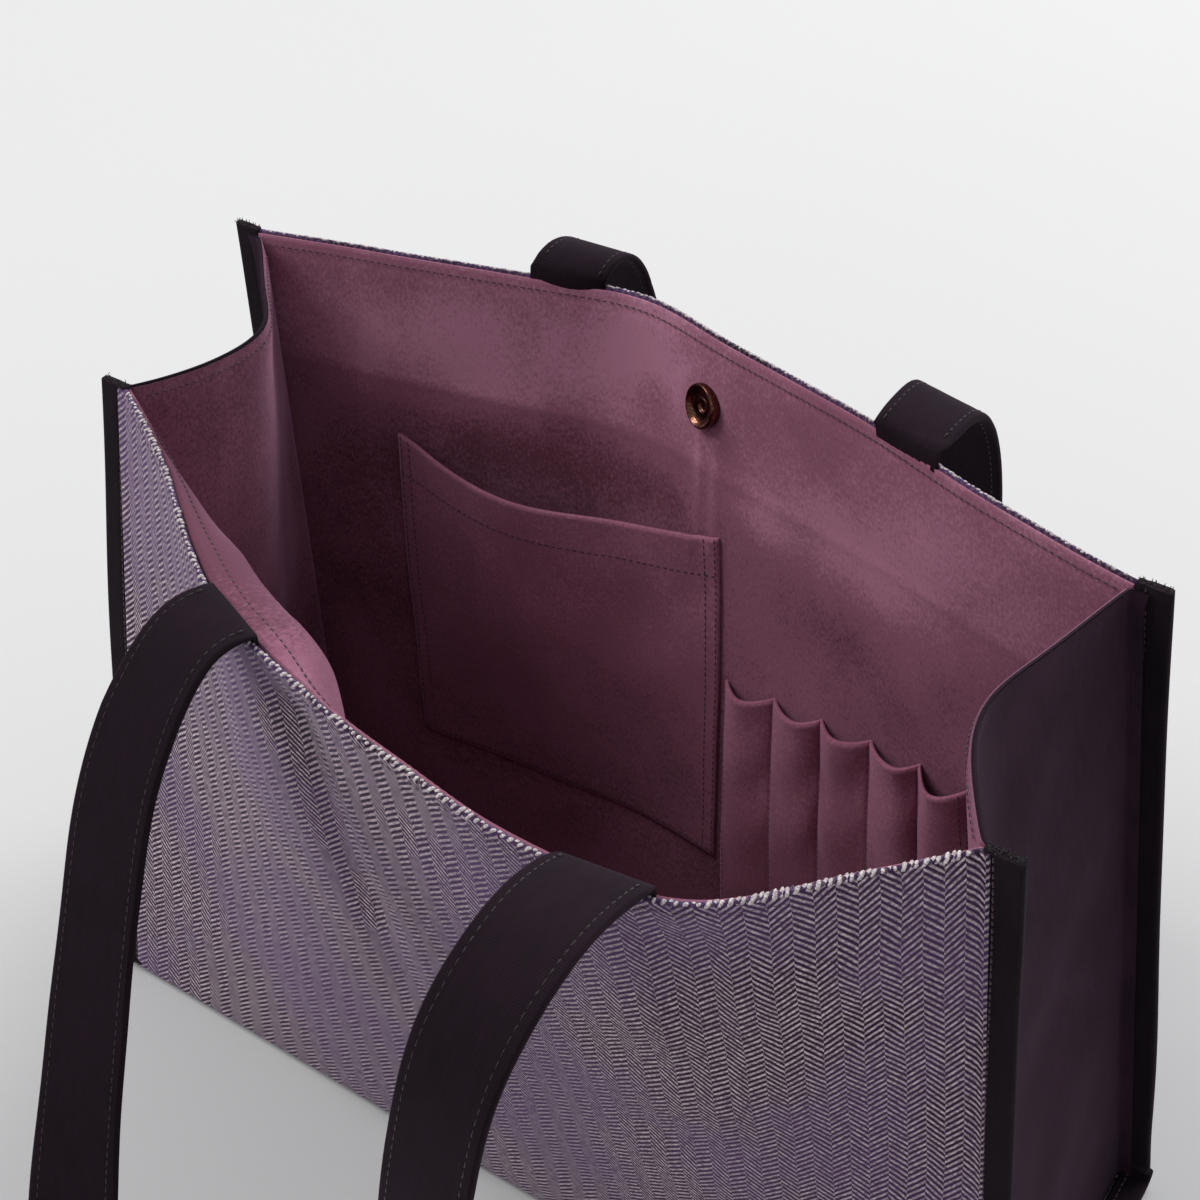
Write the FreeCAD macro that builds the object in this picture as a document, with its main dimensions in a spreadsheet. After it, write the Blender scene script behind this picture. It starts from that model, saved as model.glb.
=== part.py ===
import FreeCAD, Part
import math
import os
import Sketcher
from FreeCAD import Placement, Rotation, Vector

# Open knitting tote. Origin: centre of the base's underside, on the surface it stands on.
# +X to the bag's right seen from the front, -Y towards the front, +Z up. Millimetres.

doc = FreeCAD.newDocument("knitting_bag")

# ---------------------------------------------------------------- driving dimensions
DIMENSIONS = (
    ("body_width", 400, "between the side seams"),
    ("body_depth", 146, "base, between the outer faces of front and rear"),
    ("body_height", 298, "top edge above the surface at the corners"),
    ("outer_thick", 1.8, "wool tweed"),
    ("stiffener_thick", 1.6, "interlining"),
    ("lining_thick", 0.9, "faux suede"),
    ("layer_gap", 0.2, "between the layers of a side"),
    ("canvas_thick", 1.3, "gusset canvas"),
    ("side_lining_thick", 0.8, "gusset lining"),
    ("side_clear", 0.6, "gusset end to the side it is sewn to"),
    ("board_thick", 2.5, "base board"),
    ("board_inset", 3, "base board inside the base panel's outline"),
    ("board_corner", 12, "corner radius of the base board"),
    ("base_clear", 1.5, "base layers to the front and rear sides"),
    ("end_clear", 1.6, "base layers to the gussets, which lean inward from their feet"),
    ("tape_width", 12, "bound seam standing out of the side"),
    ("tape_thick", 3.6, "bound seam, tape and seam allowance"),
    ("tape_clear", 0.3, "bound seam to the fabric beside it"),
    ("tape_above", 1, "cut end of the tape above the top edge"),
    ("strap_width", 30, "handle strap"),
    ("strap_thick", 3, "handle strap, folded and top-stitched"),
    ("strap_tail", 45, "strap end sewn in below the top edge"),
    ("tail_thick", 1.4, "strap end, pressed flat in the seam"),
    ("tail_clear", 0.1, "strap end to the cloth outside it"),
    ("strap_lift", 3.5, "strap fold line above the top edge"),
    ("notch_clear", 0.4, "interlining cut-out around a strap end"),
    ("pocket_thick", 1.0, "pocket fabric, hemmed"),
    ("pocket_clear", 0.3, "pocket seam to the lining"),
    ("slip_gape", 20, "slip pocket mouth, forward of the lining"),
    ("slip_sag", 6, "slip pocket mouth, dip of its edge"),
    ("slot_gape", 10, "needle slot mouth, forward of the lining"),
    ("slot_count", 5, "needle slots"),
    ("snap_radius", 9, "magnetic snap"),
    ("snap_height", 3.4, "socket half"),
    ("snap_wall", 0.7, "socket half's rim"),
    ("snap_plate", 0.6, "plate thickness of both halves"),
    ("snap_recess", 0.6, "socket face below its rim"),
    ("snap_hole", 2.6, "radius of the socket"),
    ("stud_radius", 2.3, "stud of the front half"),
    ("stud_height", 2.9, "stud of the front half"),
    ("magnet_clear", 0.1, "magnet to its case"),
    ("snap_drop", 28, "snap centre below the top edge"),
    ("snap_stand", 0.3, "snap back to the lining"),
    ("washer_radius", 6.5, "backing washer"),
    ("washer_thick", 0.5, "backing washer"),
    ("washer_clear", 1, "interlining opening around the washer"),
    ("prong_width", 3, "prongs through the lining"),
    ("prong_thick", 0.6, "prongs through the lining"),
    ("prong_spread", 6, "between the two prongs"),
    ("prong_length", 2.4, "prongs behind the snap"),
    ("prong_clear", 0.3, "slot in the washer around a prong"),
)

sheet = doc.addObject("Spreadsheet::Sheet", "Dimensions")
for row, (alias, number, note) in enumerate(DIMENSIONS, start=1):
    sheet.set("A%d" % row, note)
    sheet.set("B%d" % row, str(number))
    sheet.setAlias("B%d" % row, alias)
doc.recompute()


def dim(alias):
    return float(getattr(sheet, alias))


HALF_WIDTH = dim("body_width") / 2
HALF_DEPTH = dim("body_depth") / 2
HEIGHT = dim("body_height")
SIDE_THICK = (
    dim("outer_thick") + dim("stiffener_thick") + dim("lining_thick") + 2 * dim("layer_gap")
)

# Top edges of the open bag, outer face, from the left corner to the right one. The sides stand
# straight up from the base, and their top edges bow outward and sag a little.
FRONT_TOP = (
    (-181, -47, HEIGHT), (-132, -78, 296.5), (-82, -114, 294), (-31, -131, 291), (20, -141, 289),
    (72, -145, 288), (110, -138, 289.5), (139, -113, 293), (167, -83, 296),
)
REAR_TOP = (
    (-222, 75, 296), (-164, 90, 297), (-109, 108, 296), (-66, 119, 295), (-26, 108, 296),
    (35, 91, 297.5), (98, 68, HEIGHT), (158, 54, 297),
)
# Top edges of the gussets, outer face, from the front corner to the rear one.
LEFT_TOP = (
    (-182, -41.5, HEIGHT - 1), (-174, -22, 296), (-172, -3, 294), (-175, 20, 293),
    (-193, 42, 294), (-219, 69.5, 295),
)
RIGHT_TOP = (
    (165.5, -77.5, 295), (155, -60, 294), (144, -36, 292), (141, -16, 291),
    (146, 8, 292), (157, 48.5, 296),
)


# ---------------------------------------------------------------- helpers
def points(rows):
    return [Vector(*row) for row in rows]


def spline_through(vectors):
    curve = Part.BSplineCurve()
    curve.interpolate(vectors)
    return curve


def curve_object(name, curve):
    """A curve that surfaces of the document are built on; it isn't a piece itself."""
    thing = doc.addObject("Part::Feature", name)
    thing.Shape = curve.toShape()
    return thing


def ruled_between(name, lower, upper):
    surface = doc.addObject("Part::RuledSurface", name)
    surface.Curve1 = (lower, ["Edge1"])
    surface.Curve2 = (upper, ["Edge1"])
    return surface


def layer(label, surface, direction, thick, offset="0"):
    """A sheet of cloth: the surface moved by offset along direction, then made thick that way."""
    sheet_of_cloth = doc.addObject("Part::Extrusion", label)
    sheet_of_cloth.Label = label
    sheet_of_cloth.Base = surface
    sheet_of_cloth.DirMode = "Custom"
    sheet_of_cloth.Dir = direction
    sheet_of_cloth.Solid = True
    sheet_of_cloth.setExpression("LengthFwd", thick)
    for axis in "xyz":
        share = getattr(direction, axis)
        if share:
            sheet_of_cloth.setExpression("Placement.Base." + axis, "%d * (%s)" % (share, offset))
    return sheet_of_cloth


def new_body(label):
    body = doc.addObject("PartDesign::Body", label)
    body.Label = label
    return body


def new_sketch(body, name, role="XY_Plane"):
    sketch = body.newObject("Sketcher::SketchObject", name)
    plane = [item for item in body.Origin.OriginFeatures if item.Role == role][0]
    sketch.AttachmentSupport = (plane, [""])
    sketch.MapMode = "FlatFace"
    return sketch


def add_rectangle(sketch, along_x, along_y, centre_x="0", centre_y="0"):
    """A rectangle held by four distances, each bound to an expression."""
    first = sketch.GeometryCount
    corners = [Vector(-1, -1, 0), Vector(1, -1, 0), Vector(1, 1, 0), Vector(-1, 1, 0)]
    for i in range(4):
        sketch.addGeometry(Part.LineSegment(corners[i], corners[(i + 1) % 4]), False)
    for i in range(4):
        nxt = first + (i + 1) % 4
        sketch.addConstraint(Sketcher.Constraint("Coincident", first + i, 2, nxt, 1))
        kind = "Horizontal" if i % 2 == 0 else "Vertical"
        sketch.addConstraint(Sketcher.Constraint(kind, first + i))
    distances = (
        ("DistanceX", (first, 1, first, 2), along_x),
        ("DistanceY", (first + 1, 1, first + 1, 2), along_y),
        ("DistanceX", (-1, 1, first, 2), "(%s) / 2 + (%s)" % (along_x, centre_x)),
        ("DistanceY", (-1, 1, first + 1, 2), "(%s) / 2 + (%s)" % (along_y, centre_y)),
    )
    for kind, ends, expression in distances:
        index = sketch.addConstraint(Sketcher.Constraint(kind, *ends, 1.0))
        sketch.setExpression("Constraints[%d]" % index, expression)


def add_circle(sketch, radius):
    index = sketch.addGeometry(Part.Circle(Vector(0, 0, 0), Vector(0, 0, 1), 1.0), False)
    sketch.addConstraint(Sketcher.Constraint("Coincident", index, 3, -1, 1))
    bound = sketch.addConstraint(Sketcher.Constraint("Radius", index, 1.0))
    sketch.setExpression("Constraints[%d]" % bound, radius)


def add_profile(sketch, corners):
    """A closed profile whose corners are (x, y) expressions; "0" puts a corner on an axis."""
    first = sketch.GeometryCount
    total = len(corners)
    around = [
        Vector(math.cos(math.tau * i / total), math.sin(math.tau * i / total), 0)
        for i in range(total)
    ]
    for i in range(total):
        sketch.addGeometry(Part.LineSegment(around[i], around[(i + 1) % total]), False)
    for i in range(total):
        nxt = first + (i + 1) % total
        sketch.addConstraint(Sketcher.Constraint("Coincident", first + i, 2, nxt, 1))
    for i, corner in enumerate(corners):
        for kind, expression, axis in zip(("DistanceX", "DistanceY"), corner, (-2, -1)):
            if expression == "0":
                sketch.addConstraint(Sketcher.Constraint("PointOnObject", first + i, 1, axis))
                continue
            index = sketch.addConstraint(Sketcher.Constraint(kind, -1, 1, first + i, 1, 1.0))
            sketch.setExpression("Constraints[%d]" % index, expression)


def add_pad(body, name, sketch, length):
    pad = body.newObject("PartDesign::Pad", name)
    pad.Profile = sketch
    pad.setExpression("Length", length)
    return pad


def add_revolution(body, name, sketch):
    turned = body.newObject("PartDesign::Revolution", name)
    turned.Profile = sketch
    turned.ReferenceAxis = (sketch, ["V_Axis"])
    turned.Angle = 360
    return turned


# ---------------------------------------------------------------- shape of the two sides
SLOPE_STEP = 0.01  # share of the side over which its slope is measured
HALVING_END = 1e-6  # share of the top edge at which halving stops


class Side:
    """The outer face of the front or rear side: straight at the base, bowed at the top."""

    def __init__(self, name, top, foot_y, inward):
        self.inward = inward
        self.curve = spline_through(points(top))
        foot = doc.addObject("Part::Line", name + "_foot")
        foot.setExpression("X1", "-Dimensions.body_width / 2")
        foot.setExpression("X2", "Dimensions.body_width / 2")
        sign = "-" if foot_y < 0 else ""
        for end in ("Y1", "Y2"):
            foot.setExpression(end, sign + "Dimensions.body_depth / 2")
        for end in ("Z1", "Z2"):
            setattr(foot, end, 0)
        self.surface = ruled_between(name + "_face", foot, curve_object(name + "_top", self.curve))

    def outer(self, along, up):
        """A point on the outer face: along and up run from 0 to 1."""
        low, high = self.curve.FirstParameter, self.curve.LastParameter
        top = self.curve.value(low + along * (high - low))
        foot = Vector((2 * along - 1) * HALF_WIDTH, -self.inward.y * HALF_DEPTH, 0)
        return foot + (top - foot) * up

    def inner(self, along, up, stand_off=0.0):
        """A point stand_off inside the lining."""
        return self.outer(along, up) + self.inward * (SIDE_THICK + stand_off)

    def normal(self, along, up):
        """Unit normal of the side there, towards the inside of the bag."""
        step = SLOPE_STEP
        run = self.outer(along + step, up) - self.outer(along - step, up)
        rise = self.outer(along, up + step) - self.outer(along, up - step)
        across = run.cross(rise).normalize()
        return across if across.dot(self.inward) > 0 else across * -1

    def along_at(self, x):
        """Where along the top edge x is reached, by halving."""
        low, high = 0.0, 1.0
        while high - low > HALVING_END:
            middle = (low + high) / 2
            if self.outer(middle, 1.0).x < x:
                low = middle
            else:
                high = middle
        return low


front = Side("front", FRONT_TOP, -HALF_DEPTH, Vector(0, 1, 0))
rear = Side("rear", REAR_TOP, HALF_DEPTH, Vector(0, -1, 0))


# ---------------------------------------------------------------- layers of the sides
BELOW_OUTER = "Dimensions.outer_thick + Dimensions.layer_gap"
BELOW_STIFFENER = BELOW_OUTER + " + Dimensions.stiffener_thick + Dimensions.layer_gap"

# Where each strap end is sewn in, as x of its middle at the top edge.
STRAP_AT = {"front": (-68, 85), "rear": (-97, 65)}
SNAP_ALONG = 0.5


def cutter(name, kind, placement, **sizes):
    tool = doc.addObject("Part::" + kind, name)
    for prop, value in sizes.items():
        if isinstance(value, str):
            tool.setExpression(prop, value)
        else:
            setattr(tool, prop, value)
    tool.Placement = placement
    return tool


def cut(label, base, tools):
    tool = tools[0]
    if len(tools) > 1:
        tool = doc.addObject("Part::MultiFuse", label + "_cutters")
        tool.Shapes = tools
    result = doc.addObject("Part::Cut", label)
    result.Label = label
    result.Base = base
    result.Tool = tool
    return result


def snap_frame(side, behind):
    """Placement with +Z out of the lining at the snap, behind millimetres under its face."""
    top = side.outer(SNAP_ALONG, 1.0).z
    up = 1 - dim("snap_drop") / top
    normal = side.normal(SNAP_ALONG, up)
    return Placement(
        side.inner(SNAP_ALONG, up) - normal * behind, Rotation(Vector(0, 0, 1), normal)
    )


def strap_box(name, side, x, clear):
    """A box round one strap end: clear is the room left beside and below it."""
    edge = side.outer(side.along_at(x), 1.0)
    width = dim("strap_width") + 2 * clear
    reach = 2 * SIDE_THICK + dim("strap_width")
    base = Vector(x - width / 2, edge.y - reach, edge.z - dim("strap_tail") - clear)
    tool = cutter(name, "Box", Placement(base, Rotation()), Width=2 * reach, Height=HEIGHT)
    tool.setExpression("Length", "Dimensions.strap_width + %g" % (2 * clear))
    return tool


def make_side(name, side):
    inward = side.inward
    pieces = [layer(name + "_panel", side.surface, inward, "Dimensions.outer_thick")]
    whole = layer(
        name + "_whole_interlining", side.surface, inward, "Dimensions.stiffener_thick", BELOW_OUTER
    )
    notches = []
    for end, x in zip(("left", "right"), STRAP_AT[name]):
        blank = layer(
            "%s_%s_tail_blank" % (name, end), side.surface, inward,
            "Dimensions.tail_thick", BELOW_OUTER + " + Dimensions.tail_clear",
        )
        tail = doc.addObject("Part::Common", "%s_%s_strap_end" % (name, end))
        tail.Label = tail.Name
        tail.Base = blank
        tail.Tool = strap_box("%s_%s_tail_box" % (name, end), side, x, 0)
        pieces.append(tail)
        notches.append(strap_box("%s_%s_notch" % (name, end), side, x, dim("notch_clear")))
    opening = cutter(
        name + "_washer_opening", "Cylinder", snap_frame(side, 2 * SIDE_THICK),
        Radius="Dimensions.washer_radius + Dimensions.washer_clear", Height=4 * SIDE_THICK,
    )
    pieces.append(cut(name + "_interlining", whole, notches + [opening]))
    lining = layer(
        name + "_whole_lining", side.surface, inward, "Dimensions.lining_thick", BELOW_STIFFENER
    )
    hole = cutter(
        name + "_prong_hole", "Cylinder", snap_frame(side, 2 * SIDE_THICK),
        Radius="Dimensions.snap_radius / 2", Height=4 * SIDE_THICK,
    )
    pieces.append(cut(name + "_lining", lining, [hole]))
    return pieces


# ---------------------------------------------------------------- bound seams and gussets
def make_tape(label, side, end):
    """The bound seam up one corner: it stands out sideways beyond the side's end."""
    out = -1 if end == 0 else 1
    beside = Vector(out * dim("tape_clear"), 0, 0)
    reach = Vector(out * dim("tape_width"), 0, 0)
    above_base = dim("tape_thick") + 2 * dim("tape_clear")
    low = side.outer(end, above_base / HEIGHT) + beside
    high = side.outer(end, 1.0) + beside + Vector(0, 0, dim("tape_above"))
    lines = []
    for name, start in (("low", low), ("high", high)):
        line = Part.LineSegment(start, start + reach)
        lines.append(curve_object("%s_%s" % (label, name), line))
    surface = ruled_between(label + "_face", *lines)
    return layer(label, surface, side.inward, "Dimensions.tape_thick")


def make_gusset(name, top, inward):
    """Outer canvas and lining of one end. The fold lies in the top edge's inward curve."""
    foot_y = HALF_DEPTH - SIDE_THICK - dim("side_clear")
    foot_x = -inward.x * HALF_WIDTH
    foot = Part.LineSegment(Vector(foot_x, -foot_y, 0), Vector(foot_x, foot_y, 0))
    surface = ruled_between(
        name + "_face",
        curve_object(name + "_foot", foot),
        curve_object(name + "_top", spline_through(points(top))),
    )
    canvas = layer(name, surface, inward, "Dimensions.canvas_thick")
    lining = layer(
        name + "_lining", surface, inward, "Dimensions.side_lining_thick",
        "Dimensions.canvas_thick + Dimensions.layer_gap",
    )
    return [canvas, lining]


# ---------------------------------------------------------------- base
BASE_DEPTH = (
    "Dimensions.body_depth - 2 * (Dimensions.outer_thick + Dimensions.stiffener_thick"
    " + Dimensions.lining_thick + 2 * Dimensions.layer_gap + Dimensions.base_clear)"
)
BASE_WIDTH = (
    "Dimensions.body_width - 2 * (Dimensions.canvas_thick + Dimensions.side_lining_thick"
    " + 2 * Dimensions.layer_gap + Dimensions.end_clear)"
)
UPRIGHT = 0.99  # an edge whose direction rises at least this much stands upright


def base_layer(label, width, depth, thick, height):
    body = new_body(label)
    sketch = new_sketch(body, label + "_outline")
    add_rectangle(sketch, width, depth)
    add_pad(body, label + "_pad", sketch, thick)
    body.setExpression("Placement.Base.z", height)
    return body


def make_base():
    cloth = base_layer("base_panel", BASE_WIDTH, BASE_DEPTH, "Dimensions.outer_thick", "0")
    inset = " - 2 * Dimensions.board_inset"
    board = base_layer(
        "base_board", BASE_WIDTH + inset, BASE_DEPTH + inset, "Dimensions.board_thick", BELOW_OUTER
    )
    doc.recompute()
    pad = board.Tip
    upright = [
        "Edge%d" % number
        for number, edge in enumerate(pad.Shape.Edges, start=1)
        if abs(edge.tangentAt(edge.FirstParameter).z) > UPRIGHT
    ]
    rounded = board.newObject("PartDesign::Fillet", "base_board_corners")
    rounded.Base = (pad, upright)
    rounded.setExpression("Radius", "Dimensions.board_corner")
    lining = base_layer(
        "base_lining", BASE_WIDTH, BASE_DEPTH, "Dimensions.lining_thick",
        BELOW_OUTER + " + Dimensions.board_thick + Dimensions.layer_gap",
    )
    pieces = [cloth, board, lining]
    for name, sign in (("left", "-"), ("right", "")):
        tape = new_body(name + "_base_tape")
        sketch = new_sketch(tape, name + "_base_tape_outline")
        middle = sign + "(Dimensions.body_width / 2 + Dimensions.tape_clear + Dimensions.tape_width / 2)"
        add_rectangle(sketch, "Dimensions.tape_width", "Dimensions.body_depth", middle)
        add_pad(tape, name + "_base_tape_pad", sketch, "Dimensions.tape_thick")
        pieces.append(tape)
    return pieces


# ---------------------------------------------------------------- pockets on the rear lining
SLIP_ALONG = (0.141, 0.524)
SLIP_UP = (0.22, 0.733)
SLIP_PARTS = 6
NEEDLE_ALONG = (0.534, 0.838)
NEEDLE_LOW = 0.03
NEEDLE_HIGH = (0.518, 0.575)


def hug(along, up, forward=0.0):
    """A point just inside the rear lining, or forward of it by more."""
    return rear.inner(along, up, dim("pocket_clear") + forward)


def make_pocket(label, low_points, high_points):
    surface = ruled_between(
        label + "_face",
        curve_object(label + "_low", spline_through(low_points)),
        curve_object(label + "_high", spline_through(high_points)),
    )
    return layer(label, surface, rear.inward, "Dimensions.pocket_thick")


def make_slip_pocket():
    left, right = SLIP_ALONG
    low, high = [], []
    for i in range(SLIP_PARTS + 1):
        share = i / SLIP_PARTS
        along = left + share * (right - left)
        swell = math.sin(math.pi * share)
        low.append(hug(along, SLIP_UP[0]))
        mouth = hug(along, SLIP_UP[1], dim("slip_gape") * swell)
        high.append(mouth - Vector(0, 0, dim("slip_sag") * swell))
    return make_pocket("slip_pocket", low, high)


def make_needle_pocket():
    left, right = NEEDLE_ALONG
    first, last = NEEDLE_HIGH
    steps = 2 * round(dim("slot_count"))
    low, high = [], []
    for i in range(steps + 1):
        share = i / steps
        along = left + share * (right - left)
        bulge = dim("slot_gape") if i % 2 else 0.0
        low.append(hug(along, NEEDLE_LOW))
        high.append(hug(along, first + share * (last - first), bulge))
    return make_pocket("needle_pocket", low, high)


# ---------------------------------------------------------------- magnetic snap
def add_prongs(body, name):
    sketch = new_sketch(body, name)
    half = "Dimensions.prong_spread / 2"
    for side_of_axis in ("", "-"):
        add_rectangle(
            sketch, "Dimensions.prong_thick", "Dimensions.prong_width", side_of_axis + half
        )
    pad = add_pad(body, name + "_pad", sketch, "Dimensions.prong_length")
    pad.Reversed = True
    body.Tip = pad


def make_socket_half():
    case = new_body("rear_snap_case")
    plate, height = "Dimensions.snap_plate", "Dimensions.snap_height"
    radius, hole = "Dimensions.snap_radius", "Dimensions.snap_hole"
    rim = radius + " - Dimensions.snap_wall"
    face = height + " - Dimensions.snap_recess"
    under_face = face + " - " + plate
    profile = new_sketch(case, "rear_snap_case_profile", "XZ_Plane")
    add_profile(profile, (
        ("0", "0"), (radius, "0"), (radius, height), (rim, height), (rim, face),
        (hole, face), (hole, under_face), (rim, under_face), (rim, plate), ("0", plate),
    ))
    add_revolution(case, "rear_snap_case_turned", profile)
    add_prongs(case, "rear_snap_prongs")
    magnet = new_body("rear_snap_magnet")
    ring = new_sketch(magnet, "rear_snap_magnet_outline")
    add_circle(ring, rim + " - Dimensions.magnet_clear")
    add_circle(ring, hole + " + Dimensions.magnet_clear")
    add_pad(
        magnet, "rear_snap_magnet_pad", ring,
        under_face + " - " + plate + " - 2 * Dimensions.magnet_clear",
    )
    return case, magnet


def make_stud_half():
    stud = new_body("front_snap_stud")
    plate = "Dimensions.snap_plate"
    profile = new_sketch(stud, "front_snap_stud_profile", "XZ_Plane")
    add_profile(profile, (
        ("0", "0"), ("Dimensions.snap_radius", "0"), ("Dimensions.snap_radius", plate),
        ("Dimensions.stud_radius", plate), ("Dimensions.stud_radius", "Dimensions.stud_height"),
        ("0", "Dimensions.stud_height"),
    ))
    add_revolution(stud, "front_snap_stud_turned", profile)
    add_prongs(stud, "front_snap_prongs")
    return stud


def make_washer(label):
    washer = new_body(label)
    outline = new_sketch(washer, label + "_outline")
    add_circle(outline, "Dimensions.washer_radius")
    add_pad(washer, label + "_pad", outline, "Dimensions.washer_thick")
    doc.recompute()
    before = washer.Tip.Shape.Volume
    slots = new_sketch(washer, label + "_slots")
    for side_of_axis in ("", "-"):
        add_rectangle(
            slots,
            "Dimensions.prong_thick + 2 * Dimensions.prong_clear",
            "Dimensions.prong_width + 2 * Dimensions.prong_clear",
            side_of_axis + "Dimensions.prong_spread / 2",
        )
    pocket = washer.newObject("PartDesign::Pocket", label + "_slots_cut")
    pocket.Profile = slots
    pocket.Type = "ThroughAll"
    pocket.Reversed = True
    doc.recompute()
    if pocket.Shape.Volume >= before:
        raise RuntimeError(label + ": its slots cut nothing")
    return washer


def make_snap():
    case, magnet = make_socket_half()
    stud = make_stud_half()
    stand = -dim("snap_stand")
    case.Placement = snap_frame(rear, stand)
    magnet.Placement = snap_frame(rear, stand - dim("snap_plate") - dim("magnet_clear"))
    stud.Placement = snap_frame(front, stand)
    behind = dim("lining_thick") + dim("layer_gap") + dim("washer_thick") + dim("layer_gap")
    washers = [make_washer("front_snap_washer"), make_washer("rear_snap_washer")]
    for washer, side in zip(washers, (front, rear)):
        washer.Placement = snap_frame(side, behind)
    return [case, magnet, stud] + washers


# ---------------------------------------------------------------- handle straps
# Middle line of each strap from its left fold to its right one, as (x, y, z, turn). turn is the
# angle in degrees from +X, in plan, of the strap's width: the strap turns over once between its
# ends, and lies flat on the surface at the far end of its loop.
FRONT_STRAP = (
    (-72, -134, 296, -8), (-73, -147, 288, -6), (-74, -160, 273, -3), (-74, -173, 251, 0),
    (-73, -183, 228, 2), (-71, -195, 200, 5), (-67, -210, 168, 10), (-62, -227, 130, 20),
    (-56, -242, 88, 38), (-47, -254, 48, 62), (-34, -262, 18, 82), (-16, -266, 4.5, 90),
    (8, -267, 2.2, 90), (32, -266, 4.5, 90), (50, -262, 18, 98), (62, -256, 48, 118),
    (70, -249, 88, 140), (75, -241, 134, 158), (79, -232, 182, 168), (82, -226, 224, 172),
    (84, -220, 258, 173), (85, -209, 284, 173), (86, -192, 298, 173), (86, -172, 302, 172),
    (85.5, -158, 299, 171),
)
REAR_STRAP = (
    (-97, 122, 303, 170), (-97, 134, 299, 172), (-96, 143, 289, 174), (-95, 150, 273, 175),
    (-93, 156, 250, 176), (-90, 163, 214, 174), (-86, 170, 174, 168), (-80, 178, 130, 156),
    (-74, 186, 88, 138), (-66, 193, 48, 116), (-52, 198, 18, 98), (-32, 199, 4.5, 92),
    (-8, 196, 2.2, 90), (16, 193, 4.5, 88), (36, 188, 18, 82), (49, 181, 48, 62),
    (56, 172, 88, 40), (61, 162, 130, 22), (65, 152, 174, 12), (67, 143, 214, 4),
    (68, 134, 246, -4), (68, 127, 270, -8), (67, 118, 290, -10), (66, 107, 302, -11),
    (65.5, 94, 304, -11),
)


def strap_start(side, x):
    """Middle of the strap's fold line, above the top edge at x."""
    along = side.along_at(x)
    below = dim("outer_thick") + dim("layer_gap") + dim("stiffener_thick") / 2
    return side.outer(along, 1.0) + side.inward * below + Vector(0, 0, dim("strap_lift"))


def make_strap(label, side, ends, rows):
    left, right = strap_start(side, ends[0]), strap_start(side, ends[1])
    axis = (right - left).normalize()
    middles = [left] + [Vector(*row[:3]) for row in rows] + [right]
    widths = [axis] + [Vector(math.cos(math.radians(row[3])), math.sin(math.radians(row[3])), 0)
                       for row in rows] + [axis]
    sections, last_width = [], None
    for i, (middle, width) in enumerate(zip(middles, widths)):
        before, after = middles[max(i - 1, 0)], middles[min(i + 1, len(middles) - 1)]
        forward = (after - before).normalize()
        width = (width - forward * width.dot(forward)).normalize()
        if last_width is not None and width.dot(last_width) < 0:
            width = width * -1
        last_width = width
        face = forward.cross(width) * (dim("strap_thick") / 2)
        half = width * (dim("strap_width") / 2)
        corners = [middle + half + face, middle - half + face,
                   middle - half - face, middle + half - face]
        sections.append(Part.makePolygon(corners + corners[:1]))
    strap = doc.addObject("Part::Feature", label)
    strap.Label = label
    strap.Shape = Part.makeLoft(sections, True, True)
    length = sum((b - a).Length for a, b in zip(middles, middles[1:]))
    expected = length * dim("strap_width") * dim("strap_thick")
    print("%s: length %.1f, volume over section x length %.3f, lowest %.2f, axis %s to %s" % (
        label, length, strap.Shape.Volume / expected, strap.Shape.BoundBox.ZMin,
        [round(value, 2) for value in left], [round(value, 2) for value in right]))
    return strap


# ---------------------------------------------------------------- the whole bag
pieces = make_base()
pieces += make_gusset("left_gusset", LEFT_TOP, Vector(1, 0, 0))
pieces += make_gusset("right_gusset", RIGHT_TOP, Vector(-1, 0, 0))
for side_name, side in (("front", front), ("rear", rear)):
    pieces += make_side(side_name, side)
    pieces.append(make_tape(side_name + "_left_tape", side, 0))
    pieces.append(make_tape(side_name + "_right_tape", side, 1))
pieces.append(make_slip_pocket())
pieces.append(make_needle_pocket())
pieces += make_snap()
pieces.append(make_strap("front_strap", front, STRAP_AT["front"], FRONT_STRAP))
pieces.append(make_strap("rear_strap", rear, STRAP_AT["rear"], REAR_STRAP))
doc.recompute()

for thing in doc.Objects:
    if "Invalid" in thing.State or "Error" in thing.State:
        raise RuntimeError("%s: %s" % (thing.Name, thing.State))
for piece in pieces:
    if piece.Shape.isNull() or not piece.Shape.isValid() or not piece.Shape.Solids:
        raise RuntimeError("bad shape: " + piece.Label)

os.makedirs("parts", exist_ok=True)
for piece in pieces:
    piece.Shape.exportStep("parts/%s.step" % piece.Label)
    print("%-26s %d solid(s) %10.0f mm3" % (piece.Label, len(piece.Shape.Solids), piece.Shape.Volume))
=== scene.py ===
import math
import random

import bpy
import numpy as np
from mathutils import Matrix, Vector


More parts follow.
